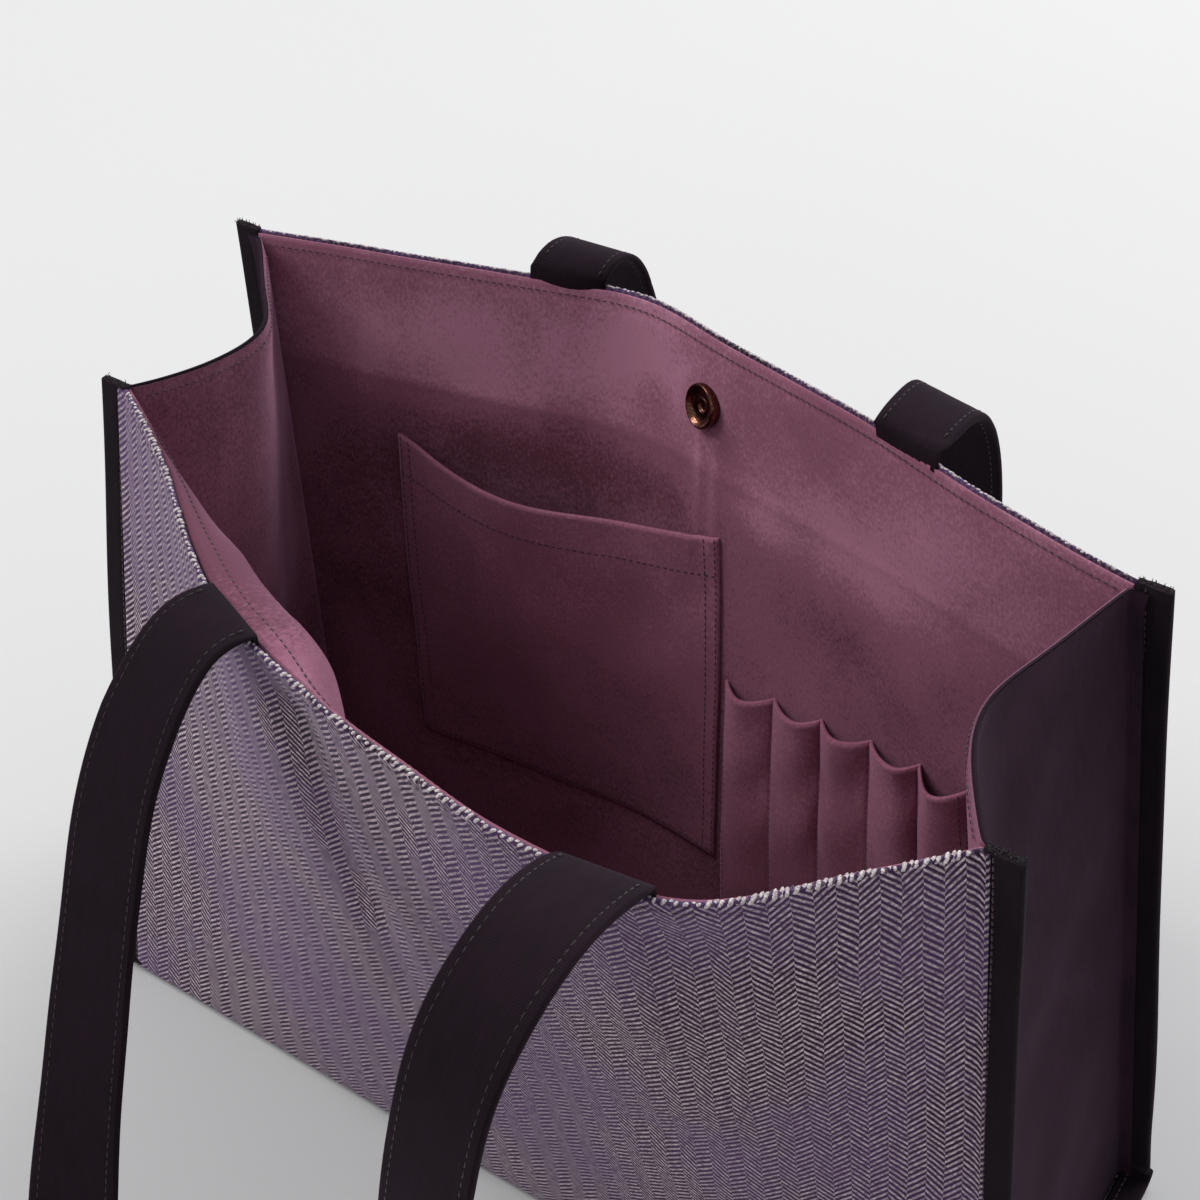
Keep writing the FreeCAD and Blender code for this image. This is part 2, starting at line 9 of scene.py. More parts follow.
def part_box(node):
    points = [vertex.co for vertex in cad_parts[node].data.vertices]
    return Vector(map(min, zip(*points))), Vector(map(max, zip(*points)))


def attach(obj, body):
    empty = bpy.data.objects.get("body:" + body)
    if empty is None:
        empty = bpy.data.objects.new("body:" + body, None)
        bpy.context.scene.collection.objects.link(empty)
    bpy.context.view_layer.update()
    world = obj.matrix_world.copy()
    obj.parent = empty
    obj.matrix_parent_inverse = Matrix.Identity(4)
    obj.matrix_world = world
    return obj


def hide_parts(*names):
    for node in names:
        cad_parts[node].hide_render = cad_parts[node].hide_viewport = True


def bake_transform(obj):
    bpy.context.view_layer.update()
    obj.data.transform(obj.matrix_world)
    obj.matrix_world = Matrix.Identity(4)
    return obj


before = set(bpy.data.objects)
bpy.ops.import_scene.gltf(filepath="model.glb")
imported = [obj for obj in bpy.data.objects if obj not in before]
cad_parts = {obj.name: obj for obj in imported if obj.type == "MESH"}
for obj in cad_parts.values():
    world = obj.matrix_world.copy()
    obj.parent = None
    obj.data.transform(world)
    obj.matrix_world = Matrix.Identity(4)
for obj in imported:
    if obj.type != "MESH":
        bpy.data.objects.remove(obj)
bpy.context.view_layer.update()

# ---------------------------------------------------------------- sizes
MM = 0.001
HALF_WIDTH = 200 * MM
HALF_DEPTH = 73 * MM
HEIGHT = 298 * MM
TWEED = 1.8 * MM
STIFFENER = 1.6 * MM
SUEDE = 0.9 * MM
LAYER_GAP = 0.2 * MM
CANVAS = 1.3 * MM
SIDE_SUEDE = 0.8 * MM
SIDE_THICK = TWEED + STIFFENER + SUEDE + 2 * LAYER_GAP
SEAM_CLEAR = 0.6 * MM
TAPE_WIDTH = 12 * MM
TAPE_THICK = 3.6 * MM
TAPE_CLEAR = 0.3 * MM
STRAP_WIDTH = 30 * MM
STRAP_THICK = 3 * MM
STRAP_LIFT = 3.5 * MM
POCKET = 1.0 * MM
POCKET_CLEAR = 0.3 * MM
SNAP_DROP = 28 * MM
SNAP_ALONG = 0.5

# Top edges, from the bag's left corner to its right one, and the gussets' from front to rear.
FRONT_TOP = (
    (-181, -47, 298), (-132, -78, 296.5), (-82, -114, 294), (-31, -131, 291), (20, -141, 289),
    (72, -145, 288), (110, -138, 289.5), (139, -113, 293), (167, -83, 296),
)
REAR_TOP = (
    (-222, 75, 296), (-164, 90, 297), (-109, 108, 296), (-66, 119, 295), (-26, 108, 296),
    (35, 91, 297.5), (98, 68, 298), (158, 54, 297),
)
LEFT_TOP = (
    (-182, -41.5, 297), (-174, -22, 296), (-172, -3, 294), (-175, 20, 293),
    (-193, 42, 294), (-219, 69.5, 295),
)
RIGHT_TOP = (
    (165.5, -77.5, 295), (155, -60, 294), (144, -36, 292), (141, -16, 291),
    (146, 8, 292), (157, 48.5, 296),
)
STRAP_AT = {"front": (-68 * MM, 85 * MM), "rear": (-97 * MM, 65 * MM)}

# Middle line of each handle strap, (x, y, z) and the direction of its width in plan, in degrees.
FRONT_STRAP = (
    (-72, -134, 296, -8), (-73, -147, 288, -6), (-74, -160, 273, -3), (-74, -173, 251, 0),
    (-73, -183, 228, 2), (-71, -195, 200, 5), (-67, -210, 168, 10), (-62, -227, 130, 20),
    (-56, -242, 88, 38), (-47, -254, 48, 62), (-34, -262, 18, 82), (-16, -266, 4.5, 90),
    (8, -267, 2.2, 90), (32, -266, 4.5, 90), (50, -262, 18, 98), (62, -256, 48, 118),
    (70, -249, 88, 140), (75, -241, 134, 158), (79, -232, 182, 168), (82, -226, 224, 172),
    (84, -220, 258, 173), (85, -209, 284, 173), (86, -192, 298, 173), (86, -172, 302, 172),
    (85.5, -158, 299, 171),
)
REAR_STRAP = (
    (-97, 122, 303, 170), (-97, 134, 299, 172), (-96, 143, 289, 174), (-95, 150, 273, 175),
    (-93, 156, 250, 176), (-90, 163, 214, 174), (-86, 170, 174, 168), (-80, 178, 130, 156),
    (-74, 186, 88, 138), (-66, 193, 48, 116), (-52, 198, 18, 98), (-32, 199, 4.5, 92),
    (-8, 196, 2.2, 90), (16, 193, 4.5, 88), (36, 188, 18, 82), (49, 181, 48, 62),
    (56, 172, 88, 40), (61, 162, 130, 22), (65, 152, 174, 12), (67, 143, 214, 4),
    (68, 134, 246, -4), (68, 127, 270, -8), (67, 118, 290, -10), (66, 107, 302, -11),
    (65.5, 94, 304, -11),
)


# ---------------------------------------------------------------- camera
def add_camera():
    """A 60 mm lens above and to the right of the front, rolled by less than a degree."""
    azimuth, elevation, roll = (math.radians(a) for a in (32.766, 38.58, 0.813))
    target = Vector((-76.6, 104.4, 150.0)) * MM
    distance = 856.7 * MM
    back = Vector((
        math.sin(azimuth) * math.cos(elevation),
        -math.cos(azimuth) * math.cos(elevation),
        math.sin(elevation),
    ))
    right = Vector((math.cos(azimuth), math.sin(azimuth), 0))
    up = back.cross(right)
    rolled_right = right * math.cos(roll) + up * math.sin(roll)
    rolled_up = up * math.cos(roll) - right * math.sin(roll)
    camera = bpy.data.objects.new("camera", bpy.data.cameras.new("camera"))
    camera.data.lens = 60
    camera.data.sensor_width = 36
    axes = Matrix((rolled_right, rolled_up, back)).transposed()
    camera.matrix_world = Matrix.Translation(target + back * distance) @ axes.to_4x4()
    bpy.context.scene.collection.objects.link(camera)
    bpy.context.scene.camera = camera


add_camera()


# ---------------------------------------------------------------- material helpers
class Shader:
    """A Principled material and short calls for the nodes that feed it."""

    def __init__(self, name, **fixed):
        self.material = bpy.data.materials.new(name)
        self.material.use_nodes = True
        self.tree = self.material.node_tree
        self.surface = self.tree.nodes["Principled BSDF"]
        for socket, value in fixed.items():
            self.surface.inputs[socket.replace("_", " ")].default_value = value

    def put(self, socket, value):
        """Links an output to a socket, or sets a plain number or colour on it."""
        if isinstance(value, bpy.types.NodeSocket):
            self.tree.links.new(value, socket)
        elif value is not None:
            socket.default_value = value

    def node(self, kind, **settings):
        made = self.tree.nodes.new(kind)
        for key, value in settings.items():
            setattr(made, key, value)
        return made

    def math(self, operation, first, second=None):
        made = self.node("ShaderNodeMath", operation=operation)
        self.put(made.inputs[0], first)
        self.put(made.inputs[1], second)
        return made.outputs[0]

    def swayed(self, value, by, amount):
        """A value moved up and down by a noise, amount from one end to the other."""
        sway = self.math("MULTIPLY", self.math("SUBTRACT", by, 0.5), amount)
        return self.math("ADD", value, sway)

    def between(self, value, low, high, to_low=0.0, to_high=1.0):
        made = self.node("ShaderNodeMapRange", interpolation_type="SMOOTHSTEP")
        for socket, number in zip(made.inputs, (value, low, high, to_low, to_high)):
            self.put(socket, number)
        return made.outputs[0]

    def mix(self, share, first, second):
        made = self.node("ShaderNodeMix", data_type="RGBA")
        self.put(made.inputs[0], share)
        self.put(made.inputs[6], first)
        self.put(made.inputs[7], second)
        return made.outputs[2]

    def noise(self, where, scale, detail=2.0, rough=0.5, distortion=0.0):
        made = self.node("ShaderNodeTexNoise")
        self.put(made.inputs["Vector"], where)
        for name, number in (
            ("Scale", scale), ("Detail", detail), ("Roughness", rough), ("Distortion", distortion)
        ):
            made.inputs[name].default_value = number
        return made.outputs["Fac"]

    def stretched(self, where, factors):
        made = self.node("ShaderNodeMapping")
        self.put(made.inputs["Vector"], where)
        made.inputs["Scale"].default_value = factors
        return made.outputs[0]

    def weave_place(self):
        """Place on the cloth, in metres across and along it."""
        return self.node("ShaderNodeUVMap", uv_map="weave").outputs[0]

    def object_place(self):
        return self.node("ShaderNodeTexCoord").outputs["Object"]

    def split(self, where):
        made = self.node("ShaderNodeSeparateXYZ")
        self.put(made.inputs[0], where)
        return made.outputs

    def attribute(self, name):
        return self.node("ShaderNodeAttribute", attribute_name=name).outputs["Fac"]

    def bump(self, height, strength, distance):
        made = self.node("ShaderNodeBump")
        made.inputs["Strength"].default_value = strength
        made.inputs["Distance"].default_value = distance
        self.put(made.inputs["Height"], height)
        self.put(self.surface.inputs["Normal"], made.outputs[0])

    def colour(self, value):
        self.put(self.surface.inputs["Base Color"], value)

    def two_tone(self, value, low, high, dark, lighter):
        """Colours the surface from dark to lighter as the value goes from low to high."""
        self.colour(self.mix(self.between(value, low, high), rgb(*dark), rgb(*lighter)))

    def roughness(self, value):
        self.put(self.surface.inputs["Roughness"], value)


def rgb(red, green, blue):
    """A linear colour from display values of 0 to 255."""
    return tuple((c / 255) ** 2.2 for c in (red, green, blue)) + (1.0,)


# ---------------------------------------------------------------- materials
HERRINGBONE_COLUMN = 6.0 * MM
TWILL_PITCH = 2.8 * MM
TWILL_SLOPE = 0.95


def tweed_material():
    """Herringbone: light floats on dark purple, the twill turning at each column."""
    s = Shader(
        "tweed", Roughness=0.95, Sheen_Weight=0.2, Sheen_Roughness=0.5,
        Sheen_Tint=rgb(190, 175, 210), Specular_IOR_Level=0.15,
    )
    where = s.weave_place()
    wobble = s.noise(where, 330, 3, 0.6)
    drift = s.noise(where, 22, 2, 0.5)
    across, along, _ = s.split(where)
    across = s.swayed(across, drift, 1.5 * MM)
    along = s.swayed(along, drift, 3.0 * MM)
    fold = s.math("PINGPONG", across, HERRINGBONE_COLUMN)
    column = s.math("FLOOR", s.math("DIVIDE", across, HERRINGBONE_COLUMN))
    odd = s.math("PINGPONG", column, 1.0)
    step = s.math("MULTIPLY", odd, TWILL_PITCH * 0.42)
    climb = s.math("ADD", s.math("SUBTRACT", along, s.math("MULTIPLY", fold, TWILL_SLOPE)), step)
    phase = s.swayed(s.math("DIVIDE", climb, TWILL_PITCH), wobble, 0.3)
    ridge = s.math("ABSOLUTE", s.math("SUBTRACT", s.math("FRACT", phase), 0.5))
    light = s.between(ridge, 0.31, 0.13)
    fleck = s.noise(where, 1000, 2, 0.6)
    light = s.math("MULTIPLY", light, s.between(fleck, 0.32, 0.58, 0.35, 1.0))
    light = s.math("MULTIPLY", light, s.between(s.attribute("tone_and_shade"), 0.0, 1.0, 0.12, 1.0))
    wear = s.noise(where, 11, 3, 0.55)
    light = s.math("MULTIPLY", light, s.between(wear, 0.35, 0.68, 1.05, 0.62))
    dark = s.mix(s.between(fleck, 0.35, 0.7), rgb(26, 14, 27), rgb(56, 37, 55))
    dark = s.mix(s.between(wear, 0.38, 0.68), dark, rgb(76, 55, 88))
    pale = s.mix(s.between(wobble, 0.35, 0.65), rgb(178, 155, 168), rgb(226, 208, 212))
    s.colour(s.mix(light, dark, pale))
    fuzz = s.noise(where, 2400, 2, 0.7)
    s.bump(s.math("ADD", light, s.math("MULTIPLY", fuzz, 0.35)), 0.6, 0.5 * MM)
    return s.material


def suede_material(name="suede", light=(170, 119, 139), mid=(135, 87, 105), deep=(92, 54, 67)):
    """Brushed faux suede, lighter or darker in soft patches and strokes; a per-vertex value adds
    painted light and shade.
    """
    s = Shader(
        name, Roughness=0.92, Sheen_Weight=0.55, Sheen_Roughness=0.45,
        Sheen_Tint=rgb(205, 160, 190), Specular_IOR_Level=0.12,
    )
    where = s.weave_place()
    patches = s.noise(where, 9, 4, 0.55, 0.6)
    strokes = s.noise(s.stretched(where, (1.0, 0.65, 1.0)), 34, 4, 0.6, 0.8)
    grain = s.noise(s.stretched(where, (1.0, 0.6, 1.0)), 900, 3, 0.7)
    mottle = s.noise(where, 300, 3, 0.65)
    tone = s.attribute("tone_and_shade")
    for texture, amount in ((patches, 1.1), (strokes, 0.6), (mottle, 0.5), (grain, 1.3)):
        tone = s.swayed(tone, texture, amount)
    colour = s.mix(s.between(tone, -0.15, 0.5), rgb(*deep), rgb(*mid))
    colour = s.mix(s.between(tone, 0.5, 1.15), colour, rgb(*light))
    s.colour(colour)
    s.bump(s.math("ADD", grain, s.math("MULTIPLY", mottle, 0.8)), 0.35, 0.25 * MM)
    return s.material


def canvas_material(name, dark, lighter, rib, bump):
    """Plain-woven canvas: two sets of fine ribs, faint dust and fuzz on the yarns."""
    s = Shader(
        name, Roughness=0.9, Sheen_Weight=0.08, Sheen_Roughness=0.5,
        Sheen_Tint=rgb(150, 120, 150), Specular_IOR_Level=0.14,
    )
    where = s.weave_place()
    across, along, _ = s.split(where)
    warp = s.between(s.math("PINGPONG", across, rib), 0.0, rib)
    weft = s.between(s.math("PINGPONG", along, rib), 0.0, rib)
    weave = s.math("MULTIPLY", s.math("ADD", warp, weft), 0.5)
    slub = s.noise(s.stretched(where, (1.0, 0.2, 1.0)), 420, 3, 0.6)
    cloud = s.noise(where, 16, 4, 0.55, 0.4)
    tone = s.math("MULTIPLY", s.math("ADD", weave, slub), 0.5)
    tone = s.math("ADD", s.math("MULTIPLY", tone, 0.55), s.math("MULTIPLY", cloud, 0.6))
    s.two_tone(tone, 0.3, 0.95, dark, lighter)
    s.bump(s.math("ADD", weave, s.math("MULTIPLY", slub, 0.6)), bump, 0.3 * MM)
    return s.material


def thread_material(name, dark, lighter):
    """Twisted sewing thread or yarn."""
    s = Shader(name, Roughness=0.8, Sheen_Weight=0.3, Specular_IOR_Level=0.25)
    twist = s.noise(s.object_place(), 1500, 2, 0.6)
    s.two_tone(twist, 0.35, 0.65, dark, lighter)
    s.bump(twist, 0.5, 0.2 * MM)
    return s.material


def metal_material(name, dark, lighter, rough_low, rough_high):
    """Cast or stamped metal with fine speckle, worn a little brighter in places."""
    s = Shader(name, Metallic=1.0)
    where = s.object_place()
    speckle = s.noise(where, 1700, 3, 0.6)
    cloud = s.noise(where, 260, 3, 0.5)
    s.two_tone(speckle, 0.45, 0.75, dark, lighter)
    s.roughness(s.between(cloud, 0.3, 0.7, rough_low, rough_high))
    s.bump(speckle, 0.12, 0.1 * MM)
    return s.material


def sheet_material(name, dark, lighter, scale, rough):
    """A plain moulded or felted sheet with a fine surface grain."""
    s = Shader(name, Roughness=rough)
    grain = s.noise(s.object_place(), scale, 3, 0.6)
    s.two_tone(grain, 0.35, 0.65, dark, lighter)
    s.bump(grain, 0.3, 0.2 * MM)
    return s.material


TWEED_CLOTH = tweed_material()
SUEDE_CLOTH = suede_material()
POCKET_CLOTH = suede_material("pocket_suede", (164, 110, 131), (133, 85, 103), (92, 55, 69))
GUSSET_CLOTH = canvas_material("gusset_canvas", (35, 22, 32), (62, 42, 56), 0.45 * MM, 0.15)
STRAP_CLOTH = canvas_material("strap_canvas", (20, 12, 18), (38, 25, 34), 0.4 * MM, 0.3)
TAPE_CLOTH = canvas_material("seam_tape", (18, 13, 18), (36, 27, 33), 0.5 * MM, 0.4)
DARK_THREAD = thread_material("dark_thread", (46, 27, 37), (80, 52, 64))
STRAP_THREAD = thread_material("strap_thread", (22, 16, 20), (38, 29, 34))
PALE_YARN = thread_material("pale_yarn", (150, 138, 144), (214, 205, 203))
PURPLE_YARN = thread_material("purple_yarn", (40, 28, 50), (92, 76, 112))
BRONZE = metal_material("antique_bronze", (84, 55, 46), (162, 120, 100), 0.14, 0.3)
BOARD = sheet_material("base_board_plastic", (26, 26, 28), (40, 40, 42), 300, 0.6)


# ---------------------------------------------------------------- geometry helpers
class Curve:
    """Smooth curve through given points; shares run from 0 to 1 by chord length."""

    def __init__(self, rows):
        self.points = np.array(rows, float)
        self.points[:, :3] *= MM
        chords = np.linalg.norm(np.diff(self.points[:, :3], axis=0), axis=1)
        self.length = chords.sum()
        self.knots = np.concatenate(([0.0], np.cumsum(chords))) / self.length
        self.slopes = self.find_slopes()

    def find_slopes(self):
        steps = np.diff(self.knots)
        rises = np.diff(self.points, axis=0) / steps[:, None]
        count = len(self.points)
        system = np.eye(count)
        right = np.zeros_like(self.points)
        right[0] = rises[0] + (rises[0] - rises[1]) * steps[0] / (steps[0] + steps[1])
        right[-1] = rises[-1] + (rises[-1] - rises[-2]) * steps[-1] / (steps[-1] + steps[-2])
        for i in range(1, count - 1):
            before, after = steps[i - 1], steps[i]
            system[i, i - 1:i + 2] = after, 2 * (before + after), before
            right[i] = 3 * (after * rises[i - 1] + before * rises[i])
        return np.linalg.solve(system, right)

    def at(self, shares):
        shares = np.asarray(shares, float)
        i = np.clip(np.searchsorted(self.knots, shares, side="right") - 1, 0, len(self.knots) - 2)
        step = (self.knots[i + 1] - self.knots[i])[..., None]
        t = ((shares - self.knots[i])[..., None]) / step
        low, high = self.points[i], self.points[i + 1]
        low_slope, high_slope = self.slopes[i] * step, self.slopes[i + 1] * step
        return (
            low * (2 * t ** 3 - 3 * t ** 2 + 1) + low_slope * (t ** 3 - 2 * t ** 2 + t)
            + high * (3 * t ** 2 - 2 * t ** 3) + high_slope * (t ** 3 - t ** 2)
        )


def unit(vectors):
    return vectors / np.maximum(np.linalg.norm(vectors, axis=-1, keepdims=True), 1e-12)


def ripples(across, along, size, seed):
    """Soft irregular waves, mostly within -1 to 1, about size metres from crest to crest."""
    draw = random.Random(seed)
    waves = 7
    total = 0.0
    for _ in range(waves):
        angle = draw.uniform(0, math.tau)
        wavelength = size * draw.uniform(0.7, 1.7)
        phase = draw.uniform(0, math.tau)
        turn = across * math.cos(angle) + along * math.sin(angle)
        total = total + np.sin(turn * math.tau / wavelength + phase)
    return total / math.sqrt(waves)


def bell(distance, width):
    return np.exp(-((distance / width) ** 2))


def smooth_step(value, low, high):
    t = np.clip((value - low) / (high - low), 0, 1)
    return t * t * (3 - 2 * t)


def add_mesh(name, vertices, faces, material, flat_faces=(), weave=None, tone_and_shade=None):
    """A mesh object with smooth faces; flat_faces are indices of faces with a hard edge."""
    mesh = bpy.data.meshes.new(name)
    mesh.from_pydata([tuple(v) for v in vertices], [], faces)
    smooth = np.ones(len(faces), bool)
    smooth[list(flat_faces)] = False
    mesh.polygons.foreach_set("use_smooth", smooth)
    if weave is not None:
        corners = np.zeros(len(mesh.loops), np.int32)
        mesh.loops.foreach_get("vertex_index", corners)
        layer = mesh.uv_layers.new(name="weave")
        layer.data.foreach_set("uv", np.asarray(weave, np.float32)[corners].ravel())
    if tone_and_shade is not None:
        spread = mesh.attributes.new("tone_and_shade", "FLOAT", "POINT")
        spread.data.foreach_set("value", np.asarray(tone_and_shade, np.float32).ravel())
    mesh.materials.append(material)
    made = bpy.data.objects.new(name, mesh)
    bpy.context.scene.collection.objects.link(made)
    return made


def grid_normals(grid):
    down = np.gradient(grid, axis=0)
    across = np.gradient(grid, axis=1)
    return unit(np.cross(across, down))


def cloth(name, middle, thick, weave, material, tone_and_shade, shading=None):
    """A closed sheet of cloth, half of its thickness on each side of the middle grid; shading
    gives its normals where another half continues the same surface."""
    rows, columns = middle.shape[:2]
    normals = grid_normals(middle) if shading is None else shading
    half = np.broadcast_to(np.reshape(thick, (-1, 1, 1)), (rows, 1, 1)) / 2
    sides = (middle + normals * half, middle - normals * half)
    vertices = np.concatenate([side.reshape(-1, 3) for side in sides])
    index = np.arange(rows * columns).reshape(rows, columns)
    corner = (index[:-1, :-1], index[:-1, 1:], index[1:, 1:], index[1:, :-1])
    quads = np.stack([c.ravel() for c in corner], 1)
    back = quads[:, ::-1] + rows * columns
    around = np.concatenate((
        index[0, :], index[1:, -1], index[-1, -2::-1], index[-2:0:-1, 0]
    ))
    after = np.roll(around, -1)
    rim = np.stack((after, around, around + rows * columns, after + rows * columns), 1)
    faces = np.concatenate((quads, back, rim)).tolist()
    flat = range(len(quads) * 2, len(faces))
    uv = np.tile(weave.reshape(-1, 2), (2, 1))
    values = np.tile(np.broadcast_to(tone_and_shade, (rows, columns)).reshape(-1), 2)
    made = add_mesh(name, vertices, faces, material, flat, uv, values)
    if shading is not None:
        both = np.concatenate((normals.reshape(-1, 3), -normals.reshape(-1, 3)))
        made.data.normals_split_custom_set_from_vertices(both.tolist())
    return made


def run_lengths(grid, axis):
    """Distance along the grid's rows or columns, averaged, so that a weave isn't stretched."""
    steps = np.linalg.norm(np.diff(grid, axis=axis), axis=-1)
    return np.concatenate(([0.0], np.cumsum(steps.mean(axis=1 - axis))))


def weave_of(grid):
    across, along = run_lengths(grid, 1), run_lengths(grid, 0)
    return np.stack(np.meshgrid(across, -along), -1)


# ---------------------------------------------------------------- the four walls
class Wall:
    """One side of the open bag, straight at the base and curved at its top edge.

    A place on it is a share along its top edge, a drop below that edge and a depth inward."""

    def __init__(self, top, foot_start, foot_end, inward):
        self.top = Curve(top)
        self.foot_start = np.array(foot_start, float)
        self.foot_end = np.array(foot_end, float)
        self.inward = np.array(inward, float)

    def at(self, along, drop, depth=0.0):
        place = [np.asarray(value, float) for value in (along, drop, depth)]
        along, drop, depth = np.broadcast_arrays(*place)
        top = self.top.at(along)
        foot = self.foot_start + (self.foot_end - self.foot_start) * along[..., None]
        up = 1 - drop / top[..., 2]
        return foot + (top - foot) * up[..., None] + self.inward * depth[..., None]

    def along_at(self, x):
        low, high = 0.0, 1.0
        for _ in range(40):
            middle = (low + high) / 2
            if self.top.at(middle)[0] < x:
                low = middle
            else:
                high = middle
        return low

    def height(self, along):
        return self.top.at(along)[..., 2]


def side_wall(top, out):
    y = out * HALF_DEPTH
    return Wall(top, (-HALF_WIDTH, y, 0), (HALF_WIDTH, y, 0), (0, -out, 0))


def end_wall(top, out):
    reach = HALF_DEPTH - SIDE_THICK - SEAM_CLEAR
    x = out * HALF_WIDTH
    return Wall(top, (x, -reach, 0), (x, reach, 0), (-out, 0, 0))


front = side_wall(FRONT_TOP, -1)
rear = side_wall(REAR_TOP, 1)
left = end_wall(LEFT_TOP, -1)
right = end_wall(RIGHT_TOP, 1)

COLUMNS = 200
ROWS = 150
EDGE_ROLL = 0.65 * MM
EDGE_THIN = 1.0 * MM
EDGE_TAPER = 8 * MM
SEAM_REACH = 3 * MM
BASE_ROLL = 5 * MM
BASE_ROLL_ROWS = 6
BASE_TUCK = 2.2 * MM
HEM = 14 * MM
# Rows of a tweed grid down the hem inside the bag, and round the top edge.
HEM_ROWS = 6
EDGE_ROWS = 5
# How far a lining leans away from the inside just under the top edge, and stands above the base.
LINING_LEAN = 1.4 * MM
LEAN_REACH = 5 * MM
LINING_FOOT = 2.5 * MM


def tweed_section():
    """Rows from hem to base: extra drop, share of the face's height, depth and thickness."""
    thin = EDGE_THIN / 2
    rows = []
    for drop in np.linspace(HEM, EDGE_ROLL, HEM_ROWS):
        rows.append((drop, 0.0, thin + 2 * EDGE_ROLL, EDGE_THIN))
    for angle in np.radians(np.linspace(150, 30, EDGE_ROWS)):
        depth = thin + EDGE_ROLL * (1 - math.cos(angle))
        rows.append((EDGE_ROLL * (1 - math.sin(angle)), 0.0, depth, EDGE_THIN))
    for share in np.linspace(0, 1, ROWS):
        swell = smooth_step(share * HEIGHT, 0, EDGE_TAPER)
        thick = EDGE_THIN + (TWEED - EDGE_THIN) * swell
        rows.append((EDGE_ROLL * (1 - share), share, thick / 2, thick))
    middle = TWEED / 2
    for angle in np.radians(np.linspace(15, 90, BASE_ROLL_ROWS)):
        depth = middle + BASE_ROLL * (1 - math.cos(angle))
        rows.append((BASE_ROLL * math.sin(angle), 1.0, depth, TWEED))
    rows.append((BASE_ROLL, 1.0, middle + BASE_ROLL + BASE_TUCK, TWEED))
    return rows


def tweed_grid(wall, soft):
    """Middle of a tweed side: hem inside the top edge, over it, down the face, under the base."""
    along = np.linspace(0, 1, COLUMNS)
    height = wall.height(along)
    face = height - EDGE_ROLL - BASE_ROLL - TWEED / 2
    grid = []
    for extra, share, depth, _ in tweed_section():
        drop = extra + share * (EDGE_ROLL + face)
        grid.append(wall.at(along, drop, depth + soft(along, drop)))
    return with_ends(np.array(grid), [(-SEAM_REACH, 0, 0)], [(SEAM_REACH, 0, 0)])


def suede_grid(wall, soft, depth, low, columns=COLUMNS, start=0.0, end=1.0, tuck=0.5 * MM):
    """Middle of a lining, from just under the wall's top edge down to low above the surface."""
    along = np.linspace(start, end, columns)
    height = wall.height(along)
    grid = []
    for share in np.linspace(0, 1, ROWS):
        drop = tuck + share * (height - low - tuck)
        lean = LINING_LEAN * bell(drop - tuck, LEAN_REACH)
        grid.append(wall.at(along, drop, depth - lean + soft(along, drop)))
    return np.array(grid), along


def with_ends(grid, offsets_first, offsets_last):
    """Adds columns beyond both ends of a grid, each moved from the end column by an offset."""
    first = [grid[:, :1] + np.array(offset) for offset in reversed(offsets_first)]
    last = [grid[:, -1:] + np.array(offset) for offset in offsets_last]
    return np.concatenate(first + [grid] + last, axis=1)


def side_soft(seed, amount):
    """How far a side's layers stand inward of their smooth shape."""
    def soft(along, drop):
        across = along * 2 * HALF_WIDTH
        held = smooth_step(drop, 0, 60 * MM) * smooth_step(HEIGHT - drop, 0, 40 * MM)
        held = held * smooth_step(along, 0, 0.06) * smooth_step(1 - along, 0, 0.06)
        broad = ripples(across, drop, 150 * MM, seed) * amount
        fine = ripples(across, drop, 55 * MM, seed + 1) * amount * 0.3
        edge = ripples(across, 0 * drop, 70 * MM, seed + 2) * 0.5 * MM * bell(drop, 40 * MM)
        return (broad + fine) * held + edge
    return soft


# Valleys that run down the front from the handle's ends: centre, slant, width, depth, first and
# last drop, in mm; and how far the front lining hangs slack beside the left corner.
FRONT_VALLEYS = (
    (-42, 0.12, 13, 5.5, 70, 210), (112, 0.05, 14, 5.0, 40, 120), (-100, -0.1, 12, 2.5, 60, 150),
)
FRONT_SLACK = 21 * MM
front_ripples = side_soft(3, 1.5 * MM)
rear_soft = side_soft(11, 1.2 * MM)


def front_soft(along, drop):
    across = (along - 0.5) * 2 * HALF_WIDTH
    total = front_ripples(along, drop)
    for centre, slant, wide, deep, first, last in FRONT_VALLEYS:
        valley = bell(across - centre * MM - slant * drop, wide * MM) * deep * MM
        total = total + valley * smooth_step(drop, 1 * MM, 26 * MM) * (
            1 - smooth_step(drop, first * MM, last * MM)
        )
    return total


def front_lining_soft(along, drop):
    """The front lining puffs inward below the edge beside the left corner."""
    slack = smooth_step(along, 0.02, 0.34) * (1 - smooth_step(along, 0.35, 0.47))
    fall = 1 - np.exp(-(np.maximum(drop, 0) / (7 * MM)) ** 1.5)
    fall = fall * (1 - smooth_step(drop, 30 * MM, 140 * MM))
    return front_soft(along, drop) + FRONT_SLACK * slack * fall


LINING_DEPTH = SIDE_THICK - SUEDE / 2
FACING_DROP = 54 * MM
FACING_SHADE = 0.22


def rear_lining_soft(along, drop):
    """The rear lining also has a crease along its facing, and is puckered at the snap."""
    across = (along - SNAP_ALONG) * 2 * HALF_WIDTH
    crease = bell(drop - FACING_DROP, 1.6 * MM) * 0.35 * MM
    fall = bell(across + 3 * MM, 2.2 * MM) + bell(across - 6 * MM, 2.6 * MM)
    fall = fall * smooth_step(drop, 34 * MM, 50 * MM)
    fall = fall * (1 - smooth_step(drop, 70 * MM, 105 * MM)) * 0.8 * MM
    near = np.hypot(across, drop - SNAP_DROP)
    pucker = bell(near - 13 * MM, 4 * MM) * 0.5 * MM
    return rear_soft(along, drop) + crease + fall + pucker


